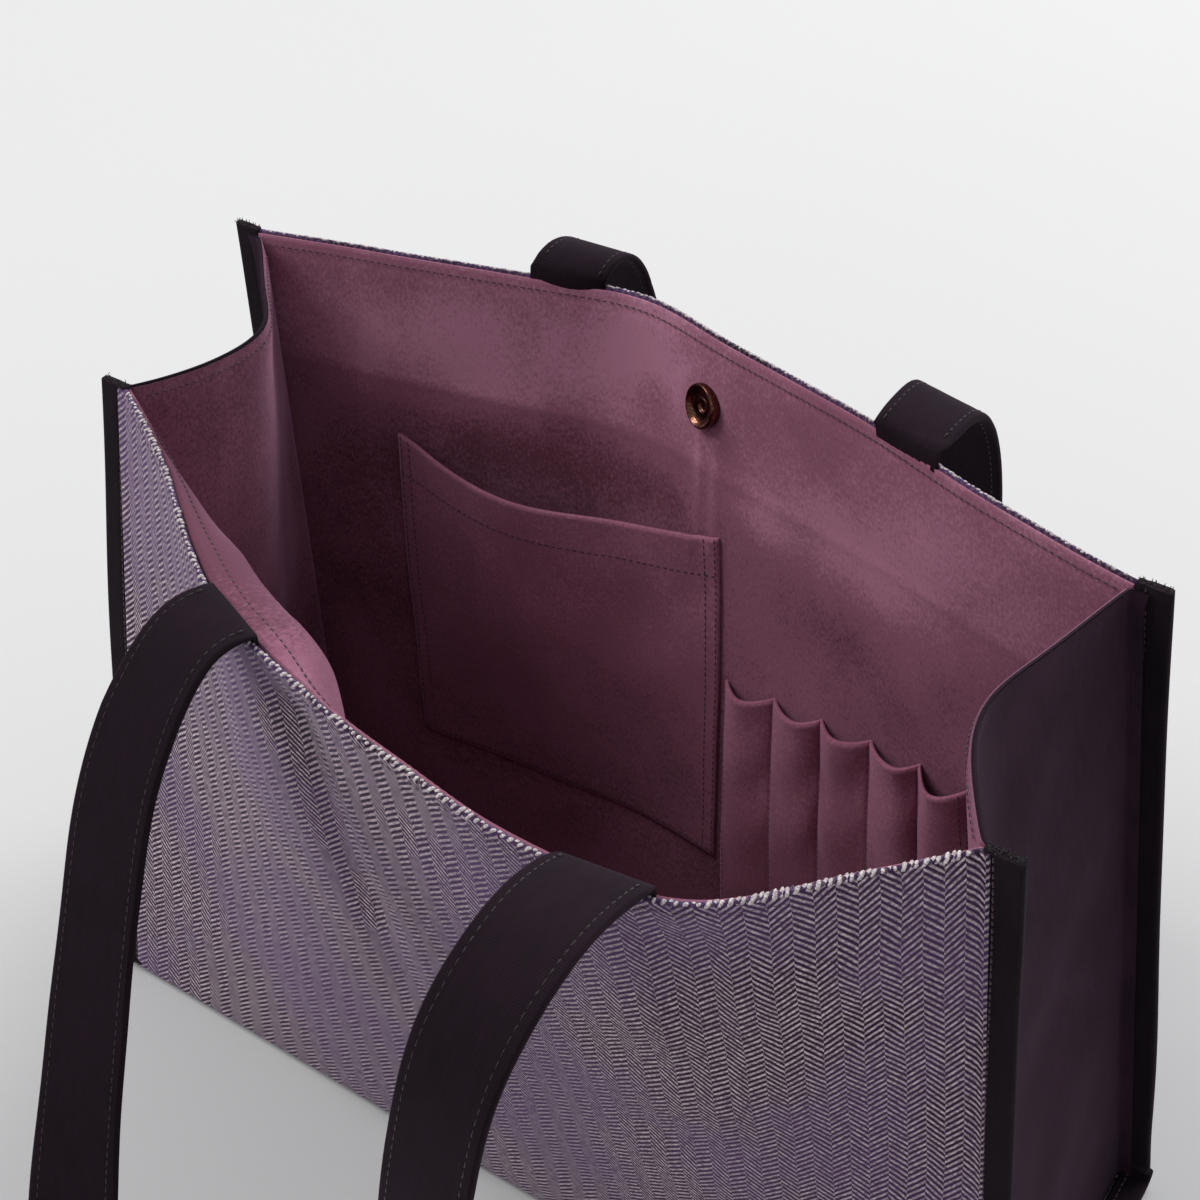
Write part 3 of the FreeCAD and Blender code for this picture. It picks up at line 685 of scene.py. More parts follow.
def nap_and_painted_light(across, drop, patches):
    """Soft light or dark brush marks and patches of painted light and shade: centre across and
    down, reach both ways, strength.
    """
    total = 0.55 + 0 * (across + drop)
    for x, y, wide, tall, strength in patches:
        reach = np.hypot((across - x * MM) / (wide * MM), (drop - y * MM) / (tall * MM))
        total = total + strength * np.exp(-reach ** 2)
    return total


# Rear lining: brush marks mixed with painted light and shade, lighter near the top, painted shade
# in the left corner and lower down, and thin painted highlights down the crease under the snap.
REAR_NAP_AND_PAINTED_LIGHT = (
    (-120, 30, 70, 24, 0.5), (-20, 40, 40, 25, 0.25), (60, 60, 45, 25, 0.4), (120, 40, 45, 30, 0.2),
    (-60, 75, 70, 14, -0.3), (-150, 95, 40, 35, -0.35), (-20, 95, 20, 40, -0.2),
    (40, 120, 40, 25, 0.15), (110, 110, 50, 30, -0.15), (-40, 190, 150, 60, -0.3),
    (32, 63, 13, 11, 0.5), (-42, 18, 28, 14, 0.3), (-28, 40, 12, 15, -0.35), (14, 44, 9, 9, -0.3),
    (-3, 56, 1.6, 16, 0.35), (6, 66, 1.8, 20, 0.35), (95, 62, 26, 12, 0.25),
    (70, 92, 20, 14, -0.25), (-95, 52, 24, 10, 0.3), (-160, 60, 18, 22, 0.3),
    (-70, 58, 10, 8, -0.2),
)
# Front lining: painted shade darkens the strip beside the left corner and the lower part; two
# lighter patches lie near the top.
FRONT_NAP_AND_PAINTED_SHADE = (
    (-120, 20, 80, 40, -1.0), (0, 30, 100, 25, 0.1), (110, 25, 60, 25, 0.3),
    (0, 180, 200, 80, -0.4),
)


def side_cloths(name, wall, soft, lining_soft, patches):
    grid = tweed_grid(wall, soft)
    pattern = np.ones(grid.shape[:2])
    pattern[:HEM_ROWS + EDGE_ROWS] = 0.0
    thick = [row[3] for row in tweed_section()]
    outer = cloth(name + "_tweed", grid, thick, weave_of(grid), TWEED_CLOTH, pattern)
    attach(outer, name + "_side")
    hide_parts(name + "_panel", name + "_interlining")
    low = TWEED + 2 * LAYER_GAP + LINING_FOOT + SUEDE / 2
    grid, along = suede_grid(wall, lining_soft, LINING_DEPTH, low)
    across = (along - 0.5) * 2 * HALF_WIDTH
    drop = np.linspace(0, HEIGHT, ROWS)[:, None]
    # The lining's colour gets painted light and shade from the patches, and painted shade below the
    # facing line.
    tone_and_shade = nap_and_painted_light(across[None, :], drop, patches)
    tone_and_shade = tone_and_shade - FACING_SHADE * smooth_step(drop, FACING_DROP - 4 * MM, FACING_DROP + 3 * MM)
    lining = cloth(name + "_lining_suede", grid, SUEDE, weave_of(grid), SUEDE_CLOTH, tone_and_shade)
    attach(lining, name + "_side")
    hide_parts(name + "_lining")


side_cloths("front", front, front_soft, front_lining_soft, FRONT_NAP_AND_PAINTED_SHADE)
side_cloths("rear", rear, rear_soft, rear_lining_soft, REAR_NAP_AND_PAINTED_LIGHT)


# ---------------------------------------------------------------- gussets
# Where each gusset folds when the bag closes, as a share from front to rear.
FOLD_AT = {"left": 0.5, "right": 0.52}
FOLD_SAMPLES = 40
GUSSET_SEED = {"left": 21, "right": 31}
GUSSET_SPAN = (0.002, 0.998)
GUSSET_COLUMNS = 80
# Painted shade that darkens the gusset linings, near the top and lower down.
GUSSET_PAINTED_SHADE = ((0, 40, 90, 60, -0.45), (0, 200, 80, 90, -0.6))
# How a gusset's edges turn out into the bound seams: outward, and towards the side, in mm.
FLANGE_TURN = ((0.8, 0.5), (2.2, 0.9), (6.0, 1.1))


def gusset_soft(seed):
    def soft(along, drop):
        across = along * 2 * HALF_DEPTH
        held = smooth_step(along, 0, 0.15) * smooth_step(1 - along, 0, 0.15)
        held = held * smooth_step(drop, 0, 50 * MM) * smooth_step(HEIGHT - drop, 0, 30 * MM)
        return (
            ripples(across, drop, 120 * MM, seed) * 1.8 * MM
            + ripples(across, drop, 45 * MM, seed + 1) * 0.4 * MM
        ) * held
    return soft


def blend_half(piece, wall, sign, fold):
    """Bakes the half's transform into its mesh; the seam and fold points worked out here are not
    used.
    """
    share = 0.0 if sign < 0 else 1.0
    low, high = wall.at(share, wall.height(share)), wall.at(share, 0.0)
    fold_line = wall.at(fold, np.linspace(0, 0.95 * HEIGHT, FOLD_SAMPLES))
    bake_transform(piece)


def gusset(name, wall):
    soft = gusset_soft(GUSSET_SEED[name])
    fold = FOLD_AT[name]
    layers = (
        ("canvas", CANVAS, CANVAS / 2, GUSSET_CLOTH, 0.9 * MM, 0.0, "canvas", name + "_gusset"),
        ("lining", SIDE_SUEDE, CANVAS + LAYER_GAP + SIDE_SUEDE / 2, SUEDE_CLOTH, 5 * MM, 0.5 * MM,
         "lining", name + "_gusset_lining"),
    )
    for label, thick, depth, material, low, tuck, slot, node in layers:
        whole, along = suede_grid(wall, soft, depth, low, GUSSET_COLUMNS, *GUSSET_SPAN, tuck)
        split = int(np.argmin(abs(along - fold))) + len(FLANGE_TURN)
        out = -wall.inward[0]
        turns = [(out * x * MM, y * MM, 0) for x, y in FLANGE_TURN]
        whole = with_ends(whole, [(x, -y, z) for x, y, z in turns], turns)
        along = np.concatenate((np.zeros(len(turns)), along, np.ones(len(turns))))
        weave = weave_of(whole)
        normals = grid_normals(whole)
        parts = (("front", slice(0, split + 1), -1), ("rear", slice(split, None), 1))
        for part, columns, sign in parts:
            across = (along[None, columns] - 0.5) * 2 * HALF_DEPTH
            # The gusset lining's colour gets painted shade from these patches.
            tone_and_shade = nap_and_painted_light(across, np.linspace(0, HEIGHT, ROWS)[:, None], GUSSET_PAINTED_SHADE)
            piece = cloth(
                "%s_gusset_%s_%s" % (name, part, label), whole[:, columns], thick,
                weave[:, columns], material, tone_and_shade, normals[:, columns],
            )
            blend_half(piece, wall, sign, fold)
            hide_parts(node)


gusset("left", left)
gusset("right", right)


# ---------------------------------------------------------------- base
BASE_COLUMNS = 120
BASE_ROWS = 50
# How far the ends of both base cloths stay inside the sides, so that nothing meets on closing.
BASE_TWEED_CLEAR = 3.8 * MM
BASE_LINING_CLEAR = 2.8 * MM


def flat_grid(half_x, half_y, height, swell=0.0):
    across = np.linspace(-half_x, half_x, BASE_COLUMNS)
    along = np.linspace(half_y, -half_y, BASE_ROWS)
    x, y = np.meshgrid(across, along)
    lift = swell * smooth_step(np.maximum(abs(x) / half_x, abs(y) / half_y), 0.9, 1.0)
    waves = ripples(x, y, 90 * MM, 5) * swell * 0.25
    return np.stack((x, y, height + lift + waves), -1)


def make_base():
    inner_x = HALF_WIDTH - CANVAS - SIDE_SUEDE - 2 * LAYER_GAP
    reach = HALF_DEPTH - BASE_ROLL - BASE_TWEED_CLEAR
    under = flat_grid(inner_x + 1.2 * MM, reach, TWEED / 2)
    tweed = cloth("base_tweed", under, TWEED, weave_of(under), TWEED_CLOTH, 1.0)
    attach(tweed, "base")
    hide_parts("base_panel")
    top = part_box("base_lining")[0].z
    reach = HALF_DEPTH - SIDE_THICK - BASE_LINING_CLEAR
    inside = flat_grid(inner_x - 0.5 * MM, reach, top + SUEDE, 0.8 * MM)
    # A darker patch across the middle of the base lining.
    tone_and_shade = nap_and_painted_light(inside[..., 0], inside[..., 1], ((0, 0, 150, 50, -0.3),))
    lining = cloth("base_lining_suede", inside, SUEDE, weave_of(inside), SUEDE_CLOTH, tone_and_shade)
    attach(lining, "base")
    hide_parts("base_lining")
    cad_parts["base_board"].data.materials.clear()
    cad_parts["base_board"].data.materials.append(BOARD)


make_base()


# ---------------------------------------------------------------- swept bands: straps and tapes
ROUND_STEPS = 4
WIDTH_STEPS = 8


def rounded_section(width, thick, corner):
    """Outline of a flat band, with round edges, as (across, through)."""
    outline = []
    for turn, (x, y) in enumerate(((1, 1), (-1, 1), (-1, -1), (1, -1))):
        for i in range(ROUND_STEPS + 1):
            angle = math.radians(90 * turn + 90 * i / ROUND_STEPS)
            outline.append((
                x * (width / 2 - corner) + corner * math.cos(angle),
                y * (thick / 2 - corner) + corner * math.sin(angle),
            ))
        if turn % 2 == 0:
            for share in np.linspace(1, -1, WIDTH_STEPS + 1)[1:-1]:
                outline.append((x * share * (width / 2 - corner), y * thick / 2))
    return np.array(outline)


def ring_faces(rings, sides, first=0):
    """Quads that join rings of vertices, one ring to the next."""
    faces = []
    for ring in range(rings - 1):
        a, b = first + ring * sides, first + (ring + 1) * sides
        for j in range(sides):
            k = (j + 1) % sides
            faces.append((a + j, a + k, b + k, b + j))
    return faces


def add_tube(name, vertices, rings, sides, material, weave=None):
    """Rings of vertices joined into one closed piece with flat ends."""
    faces = ring_faces(rings, sides)
    faces.append(tuple(range(sides))[::-1])
    faces.append(tuple((rings - 1) * sides + j for j in range(sides)))
    return add_mesh(
        name, vertices, faces, material, (len(faces) - 2, len(faces) - 1), weave
    )


def band(name, middles, across, through, outline, material, crown):
    """A closed band swept along middles; crown(outline, length) bends its section."""
    count, sides = len(middles), len(outline)
    length = run_lengths(middles[:, None, :], 0)
    rings, weave = [], []
    for i in range(count):
        section = crown(outline, length[i])
        sideways, upward = np.outer(section[:, 0], across[i]), np.outer(section[:, 1], through[i])
        rings.append(middles[i] + sideways + upward)
        weave.append(np.stack((outline[:, 0], np.full(sides, length[i])), -1))
    return add_tube(
        name, np.concatenate(rings), count, sides, material, np.concatenate(weave)
    )


STRAP_SAMPLES = 260
# Drops of the rings in a strap's sewn-in ends, and how many rings turn from them to its own line.
TAIL_DROPS = (30 * MM, 21 * MM, 12 * MM, 3 * MM)
TAIL_TURN = 16
# Where a strap would begin and end its bend, outward of the line between its sewn ends; the points
# made from these go unused.
HANDLE_BEND = (7 * MM, 32 * MM)
# From a strap's or tape's edge to its line of stitches.
STITCH_INSET = 3.2 * MM


def strap_line(wall, ends, rows):
    """Middles and directions of a strap, with its sewn-in ends below the top edge."""
    below = TWEED + LAYER_GAP + STIFFENER / 2
    shares = [wall.along_at(x) for x in ends]
    starts = [wall.at(share, 0.0, below) for share in shares]
    lifted = [(start + (0, 0, STRAP_LIFT)) / MM for start in starts]
    path = [(*lifted[0], rows[0][3]), *rows, (*lifted[1], rows[-1][3])]
    line = Curve(path).at(np.linspace(0, 1, STRAP_SAMPLES))
    middles, turns = line[:, :3], np.radians(line[:, 3])
    tails = [np.array([wall.at(share, drop, below) for drop in TAIL_DROPS]) for share in shares]
    middles = np.concatenate((tails[0], middles, tails[1][::-1]))
    widths = np.stack((np.cos(turns), np.sin(turns), 0 * turns), -1)
    edges = [unit(wall.at(share + 0.02, 0.0) - wall.at(share - 0.02, 0.0)) for share in shares]
    first = edges[0] if widths[0] @ edges[0] > 0 else -edges[0]
    last = edges[1] if widths[-1] @ edges[1] > 0 else -edges[1]
    tail = len(TAIL_DROPS)
    widths = np.concatenate((np.tile(first, (tail, 1)), widths, np.tile(last, (tail, 1))))
    for i in range(tail, tail + TAIL_TURN):
        share = (i - tail) / TAIL_TURN
        widths[i] = unit(first * (1 - share) + widths[i] * share)
        widths[-1 - i] = unit(last * (1 - share) + widths[-1 - i] * share)
    forward = unit(np.gradient(middles, axis=0))
    widths = unit(widths - forward * np.sum(widths * forward, axis=1, keepdims=True))
    return middles, widths, np.cross(forward, widths), starts


def lay_tails(piece, wall, soft, sides):
    """Moves the sewn-in ends of a strap with the wall that they lie in."""
    count, tail = len(piece.data.vertices), len(TAIL_DROPS) * sides
    for i, vertex in enumerate(piece.data.vertices):
        if i < tail or i >= count - tail:
            along = wall.along_at(vertex.co.x)
            ease = soft(np.array(along), np.array(max(wall.height(along) - vertex.co.z, 0.0)))
            vertex.co += Vector(wall.inward * float(ease))


def strap(name, wall, soft, ends, rows, side_body, handle_body):
    middles, widths, faces, starts = strap_line(wall, ends, rows)
    outline = rounded_section(STRAP_WIDTH, STRAP_THICK, 1.3 * MM)
    total = run_lengths(middles[:, None, :], 0)[-1]

    def crown(outline, length):
        waver = 0.25 * MM * math.sin(length / (37 * MM)) + 0.12 * MM * math.sin(length / (9 * MM))
        puffed = outline.copy()
        puffed[:, 0] += waver * np.sign(outline[:, 0])
        from_groove = abs(outline[:, 0]) - (STRAP_WIDTH / 2 - 3.4 * MM)
        puffed[:, 1] *= 1 - 0.12 * bell(from_groove, 1.2 * MM)
        from_end = min(length, total - length)
        puffed[:, 1] *= 0.42 + 0.58 * smooth_step(from_end, 34 * MM, 46 * MM)
        return puffed

    piece = band(name + "_handle", middles, widths, faces, outline, STRAP_CLOTH, crown)
    lay_tails(piece, wall, soft, len(outline))
    outward = unit(np.cross(starts[1] - starts[0], (0, 0, 1)))
    if outward @ wall.inward > 0:
        outward = -outward
    bend = [tuple(starts[0] + outward * reach) for reach in HANDLE_BEND]
    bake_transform(piece)
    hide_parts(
        name + "_strap", name + "_left_strap_end", name + "_right_strap_end"
    )
    return middles, widths, faces, bend


# ---------------------------------------------------------------- stitches and yarn ends
def capsules(name, centres, along, up, size, material, seed, jitter):
    """Many small stitches in one mesh: size is half length, half width and half height."""
    draw = random.Random(seed)
    rings = ((-0.72, 0.7), (0.0, 1.0), (0.72, 0.7))
    sides = 6
    vertices, faces = [], []
    for centre, forward, above in zip(centres, along, up):
        across = unit(np.cross(forward, above))
        grow = 1 + draw.uniform(-jitter, jitter)
        skew = draw.uniform(-jitter, jitter)
        first = len(vertices)
        for step, swell in rings:
            for j in range(sides):
                angle = math.tau * j / sides
                vertices.append(
                    centre + forward * (size[0] * step * grow)
                    + across * (size[1] * swell * math.cos(angle) + size[1] * skew * step)
                    + above * (size[2] * swell * math.sin(angle))
                )
        tip = len(vertices)
        for step in (-1, 1):
            vertices.append(
                centre + forward * (size[0] * step * grow) + across * (size[1] * skew * step)
            )
        faces += ring_faces(len(rings), sides, first)
        for j in range(sides):
            k = (j + 1) % sides
            faces.append((first + k, first + j, tip))
            faces.append((first + 2 * sides + j, first + 2 * sides + k, tip + 1))
    return add_mesh(name, vertices, faces, material)


def read_along(at, source, rows):
    """Rows of three numbers, read at places between their own places in source."""
    return np.stack([np.interp(at, source, rows[:, i]) for i in range(3)], -1)


def evenly(points, spacing, start):
    """Places, directions and shares of the length, at even spacing along a line of points."""
    length = run_lengths(points[:, None, :], 0)
    at = np.arange(start, length[-1] - start, spacing)
    ahead, behind = (read_along(at + step, length, points) for step in (0.5 * MM, -0.5 * MM))
    return read_along(at, length, points), unit(ahead - behind), at / length[-1]


STITCH = (1.15 * MM, 0.32 * MM, 0.3 * MM)


def stitch_row(
    name, points, normals, body, material=DARK_THREAD, spacing=3.0 * MM, seed=0, size=STITCH
):
    """Stitches along a line of points; without a body, the caller bakes the piece's transform."""
    places, along, shares = evenly(points, spacing, spacing / 2)
    up = unit(read_along(shares, np.linspace(0, 1, len(normals)), normals))
    piece = capsules(name, places, along, up, size, material, seed, 0.12)
    if body:
        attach(piece, body)
    return piece


def wall_line(wall, soft, drop, depth, start, end, count=240):
    """Points and inward normals of a line a constant drop below a wall's top edge."""
    along = np.linspace(start, end, count)
    drops = np.full(count, drop)
    points = wall.at(along, drops, depth + soft(along, drops))
    below = wall.at(along, drops + 2 * MM, depth + soft(along, drops + 2 * MM))
    run = np.gradient(points, axis=0)
    normals = unit(np.cross(run, points - below))
    if np.mean(normals @ wall.inward) < 0:
        normals = -normals
    return points, normals


TOPSTITCH_DROP = 4 * MM
TOPSTITCH_SPAN = (0.01, 0.99)
# Rows of yarn over the top edge: name, yarn, place in each column, depth and size.
EDGE_FLOATS = (
    ("pale", PALE_YARN, 0.2, 0.8 * MM, (1.4 * MM, 0.85 * MM, 0.6 * MM)),
    ("small", PALE_YARN, 0.5, 1.2 * MM, (1.3 * MM, 0.75 * MM, 0.55 * MM)),
    ("short", PALE_YARN, 0.77, 0.8 * MM, (1.2 * MM, 0.75 * MM, 0.55 * MM)),
    ("purple", PURPLE_YARN, 0.98, 1.2 * MM, (1.1 * MM, 0.6 * MM, 0.45 * MM)),
)


def edge_details(name, wall, soft, lining_soft, body, seed):
    """Topstitching inside and outside, and the rows of floats over the top edge."""
    points, normals = wall_line(wall, lining_soft, TOPSTITCH_DROP, SIDE_THICK, *TOPSTITCH_SPAN)
    stitch_row(name + "_lining_topstitch", points, normals, body, seed=seed)
    points, normals = wall_line(wall, soft, TOPSTITCH_DROP, 0.0, *TOPSTITCH_SPAN)
    stitch_row(name + "_tweed_topstitch", points, -normals, body, seed=seed + 1)
    for label, material, offset, depth, size in EDGE_FLOATS:
        points, _ = wall_line(wall, soft, -0.05 * MM, depth, 0.004, 0.996)
        places, along, _ = evenly(points, HERRINGBONE_COLUMN, HERRINGBONE_COLUMN * offset)
        up = np.tile(unit(-wall.inward + (0, 0, 0.9)), (len(places), 1))
        slant = unit(along * 0.75 + unit(np.cross(up, along)))
        piece_name = "%s_edge_floats_%s" % (name, label)
        piece = capsules(piece_name, places, slant, up, size, material, seed, 0.45)
        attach(piece, body)


edge_details("front", front, front_soft, front_lining_soft, "front_side", 41)
edge_details("rear", rear, rear_soft, rear_lining_soft, "rear_side", 51)


def gusset_stitches(name, wall):
    seed, fold = GUSSET_SEED[name], FOLD_AT[name]
    soft = gusset_soft(seed)
    spans = (("front", 0.02, fold, -1), ("rear", fold, 0.98, 1))
    for part, start, end, sign in spans:
        for label, depth, turn in (
            ("inner", CANVAS + LAYER_GAP + SIDE_SUEDE, 1), ("outer", 0.0, -1)
        ):
            points, normals = wall_line(wall, soft, TOPSTITCH_DROP, depth, start, end, 80)
            piece = stitch_row(
                "%s_gusset_%s_%s_topstitch" % (name, part, label), points, normals * turn, None,
                seed=seed,
            )
            blend_half(piece, wall, sign, fold)


gusset_stitches("left", left)
gusset_stitches("right", right)


# ---------------------------------------------------------------- handles
HANDLE_STITCH = (1.2 * MM, 0.3 * MM, 0.28 * MM)


def handle_stitches(name, line, side_body, handle_body):
    middles, widths, faces, bend = line
    inset = STRAP_WIDTH / 2 - STITCH_INSET
    for label, across in (("near", -inset), ("far", inset)):
        for turned, sign in (("top", 1), ("under", -1)):
            points = middles + widths * across + faces * sign * (STRAP_THICK / 2 * 0.93)
            piece = stitch_row(
                "%s_handle_stitch_%s_%s" % (name, label, turned), points[5:-5],
                (faces * sign)[5:-5], None, STRAP_THREAD, 3.3 * MM, 7, HANDLE_STITCH,
            )
            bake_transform(piece)


for strap_name, strap_wall, strap_soft, strap_rows in (
    ("front", front, front_soft, FRONT_STRAP), ("rear", rear, rear_soft, REAR_STRAP)
):
    bodies = (strap_name + "_side", strap_name + "_handle")
    strap_facts = strap(
        strap_name, strap_wall, strap_soft, STRAP_AT[strap_name], strap_rows, *bodies
    )
    handle_stitches(strap_name, strap_facts, *bodies)


# ---------------------------------------------------------------- bound seams
def tape(name, points, across, through, body, node, frayed, seed):
    """A bound seam: tape folded round the edges, with a stitch line near its inner edge."""
    outline = rounded_section(TAPE_WIDTH, TAPE_THICK, 1.5 * MM)

    def crown(outline, length):
        shaped = outline.copy()
        shaped[:, 0] += 0.25 * MM * math.sin(length / (21 * MM) + seed) * (outline[:, 0] > 0)
        groove = bell(outline[:, 0] + TAPE_WIDTH / 2 - 2.6 * MM, 1.0 * MM)
        shaped[:, 1] *= 1 - 0.22 * groove
        return shaped

    piece = band(name, points, across, through, outline, TAPE_CLOTH, crown)
    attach(piece, body)
    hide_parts(node)
    middle = points - across * (TAPE_WIDTH / 2 - STITCH_INSET)
    for label, sign in (("a", 1), ("b", -1)):
        line = middle + through * sign * (TAPE_THICK / 2 * 0.9)
        stitch_row(name + "_stitch_" + label, line, through * sign, body, seed=seed)
    if frayed:
        fray(name + "_fray", points[-1], across[-1], through[-1], body, seed)


FRAY_YARNS = 46


def fray(name, end, across, through, body, seed):
    """Short loose yarns at the tape's cut end."""
    draw = random.Random(seed)
    centres, directions, ups = [], [], []
    for _ in range(FRAY_YARNS):
        lean = np.array([draw.uniform(-0.7, 0.7), draw.uniform(-0.7, 0.7), draw.uniform(0.15, 1.0)])
        base = (
            end + across * draw.uniform(-0.46, 0.46) * TAPE_WIDTH
            + through * draw.uniform(-0.42, 0.42) * TAPE_THICK
        )
        direction = unit(lean)
        centres.append(base + direction * 0.5 * MM)
        directions.append(direction)
        ups.append(unit(np.cross(direction, (0.3, 0.9, 0.1))))
    piece = capsules(
        name, centres, directions, ups, (0.85 * MM, 0.14 * MM, 0.14 * MM), STRAP_THREAD, seed, 0.5
    )
    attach(piece, body)


CORNER_TURN = 7 * MM
CORNER_ROWS = 60


def corner_tape(name, wall, share, body, seed):
    out = -1 if share == 0 else 1
    heights = np.linspace(0, 1, CORNER_ROWS)
    top = wall.height(share)
    drops = top - CORNER_TURN - heights * (top - CORNER_TURN + 1 * MM)
    points = wall.at(np.full(CORNER_ROWS, float(share)), drops, TAPE_THICK / 2)
    points[:, 0] += out * (TAPE_CLEAR + TAPE_WIDTH / 2)
    points[:, 0] += 0.5 * MM * np.sin(heights * 9 + seed) * smooth_step(heights, 0, 0.1)
    across = np.tile((float(out), 0, 0), (CORNER_ROWS, 1))
    through = np.tile(-wall.inward, (CORNER_ROWS, 1))
    tape(name + "_bound", points, across, through, body, name, True, seed)


for tape_side, tape_wall in (("front", front), ("rear", rear)):
    for tape_end, tape_share in (("left", 0.0), ("right", 1.0)):
        corner_tape(
            "%s_%s_tape" % (tape_side, tape_end), tape_wall, tape_share, tape_side + "_side",
            len(tape_side) + int(tape_share),
        )


def base_tape(name, out):
    """The seam along the bottom edge of a gusset, turning up at both corners."""
    edge = HALF_DEPTH - TAPE_THICK / 2
    turn = CORNER_TURN - TAPE_THICK / 2
    places, through = [], []
    for angle in np.radians(np.linspace(0, 90, 8)):
        places.append((-edge + turn * (1 - math.cos(angle)), CORNER_TURN - turn * math.sin(angle)))
        through.append((-math.cos(angle), -math.sin(angle)))
    for y in np.linspace(-edge + turn, edge - turn, 40)[1:-1]:
        places.append((y, TAPE_THICK / 2))
        through.append((0.0, -1.0))
    for angle in np.radians(np.linspace(90, 0, 8)):
        places.append((edge - turn * (1 - math.cos(angle)), CORNER_TURN - turn * math.sin(angle)))
        through.append((math.cos(angle), -math.sin(angle)))
    x = out * (HALF_WIDTH + TAPE_CLEAR + TAPE_WIDTH / 2)
    points = np.array([(x, y, z) for y, z in places])
    normals = np.array([(0.0, y, z) for y, z in through])
    across = np.tile((float(out), 0, 0), (len(points), 1))
    tape(name + "_bound", points, across, normals, "base", name, False, 9)


base_tape("left_base_tape", -1)
base_tape("right_base_tape", 1)


# ---------------------------------------------------------------- pockets on the rear lining
# Their edges as shares along the rear side and up it, and the rows and columns of their grids.
SLIP_ALONG = (0.141, 0.524)
SLIP_UP = (0.22, 0.733)
SLIP_GAPE = 20 * MM
SLIP_SAG = 6 * MM
NEEDLE_ALONG = (0.534, 0.838)
NEEDLE_LOW = 0.03
NEEDLE_HIGH = (0.518, 0.575)
# How far each needle slot's mouth stands open and dips, in mm, and where its widest place is.
SLOTS = ((7.0, 2.0, 0.42), (7.0, 1.0, 0.55), (6.5, 1.5, 0.4), (7.5, 1.0, 0.6), (9.5, 4.0, 0.38))
SLIP_HEM = 17 * MM
SLIP_ROWS = 70
SLIP_COLUMNS = 100
NEEDLE_ROWS = 60
NEEDLE_COLUMNS = 151


def pocket_surface(along, up, forward):
    """Middle of a pocket: shares along and up the rear side, forward of the lining."""
    height = rear.height(along)
    drop = height * (1 - up)
    depth = SIDE_THICK + POCKET_CLEAR + POCKET / 2 + forward
    return rear.at(along, drop, depth + rear_lining_soft(along, drop))


def slip_grid(forward_extra=0.0, low=0.0, high=1.0, rows=SLIP_ROWS):
    share = np.linspace(0, 1, SLIP_COLUMNS)[None, :]
    rise = np.linspace(high, low, rows)[:, None]
    swell = np.sin(math.pi * share)
    along = SLIP_ALONG[0] + share * (SLIP_ALONG[1] - SLIP_ALONG[0]) + 0 * rise
    up = SLIP_UP[0] + rise * (SLIP_UP[1] - SLIP_UP[0]) - swell * SLIP_SAG / HEIGHT * rise
    gape = SLIP_GAPE * swell * rise ** 1.3
    puckers = ripples(share * 150 * MM, rise * 150 * MM, 60 * MM, 71) * 0.6 * MM
    puckers = puckers * smooth_step(share, 0, 0.08) * smooth_step(1 - share, 0, 0.08) * rise
    return pocket_surface(along, up, gape + puckers + forward_extra)


def pocket_cloths(name, grid_of, hem_low, hem_rows):
    """A pocket's cloth and turned hem on the rear side; returns a grid of its outer face."""
    grid = grid_of()
    # The pocket is lighter at its top and darker towards its bottom.
    tone_and_shade = 0.5 + 0.25 * np.linspace(1, -1, len(grid))[:, None]
    pocket = cloth(name + "_suede", grid, POCKET, weave_of(grid), POCKET_CLOTH, tone_and_shade)
    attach(pocket, "rear_side")
    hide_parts(name)
    hem = grid_of(-POCKET * 0.95, hem_low, 0.998, hem_rows)
    turned = cloth(name + "_hem", hem, POCKET * 0.8, weave_of(hem), POCKET_CLOTH, 0.5)
    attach(turned, "rear_side")
    return grid_of(POCKET / 2)


def pocket_stitches(name, line, seed):
    stitch_row(name, line, np.tile(rear.inward, (len(line), 1)), "rear_side", seed=seed)


def make_slip_pocket():
    hem_share = SLIP_HEM / (HEIGHT * (SLIP_UP[1] - SLIP_UP[0]))
    face = pocket_cloths(
        "slip_pocket", slip_grid, 1 - hem_share, 12
    )
    row = int(round(hem_share * (SLIP_ROWS - 1)))
    pocket_stitches("slip_pocket_hem_stitch", face[row], 81)
    lines = (("left_outer", 1), ("left_inner", 4), ("right_outer", -2), ("right_inner", -5))
    for label, column in lines:
        pocket_stitches("slip_pocket_stitch_" + label, face[:, column], 82)
    pocket_stitches("slip_pocket_stitch_low", face[-2], 83)


def needle_shape(share):
    """Gape and dip of the needle pocket's mouth along its width."""
    slot = np.clip((share * len(SLOTS)).astype(int), 0, len(SLOTS) - 1)
    facts = np.array(SLOTS)[slot]
    within = share * len(SLOTS) - slot
    widest = facts[..., 2]
    bent = np.where(within < widest, within / widest, (1 - within) / (1 - widest)) * 0.5
    swell = np.sin(math.pi * bent)
    return facts[..., 0] * MM * swell ** 0.75, facts[..., 1] * MM * swell ** 1.6


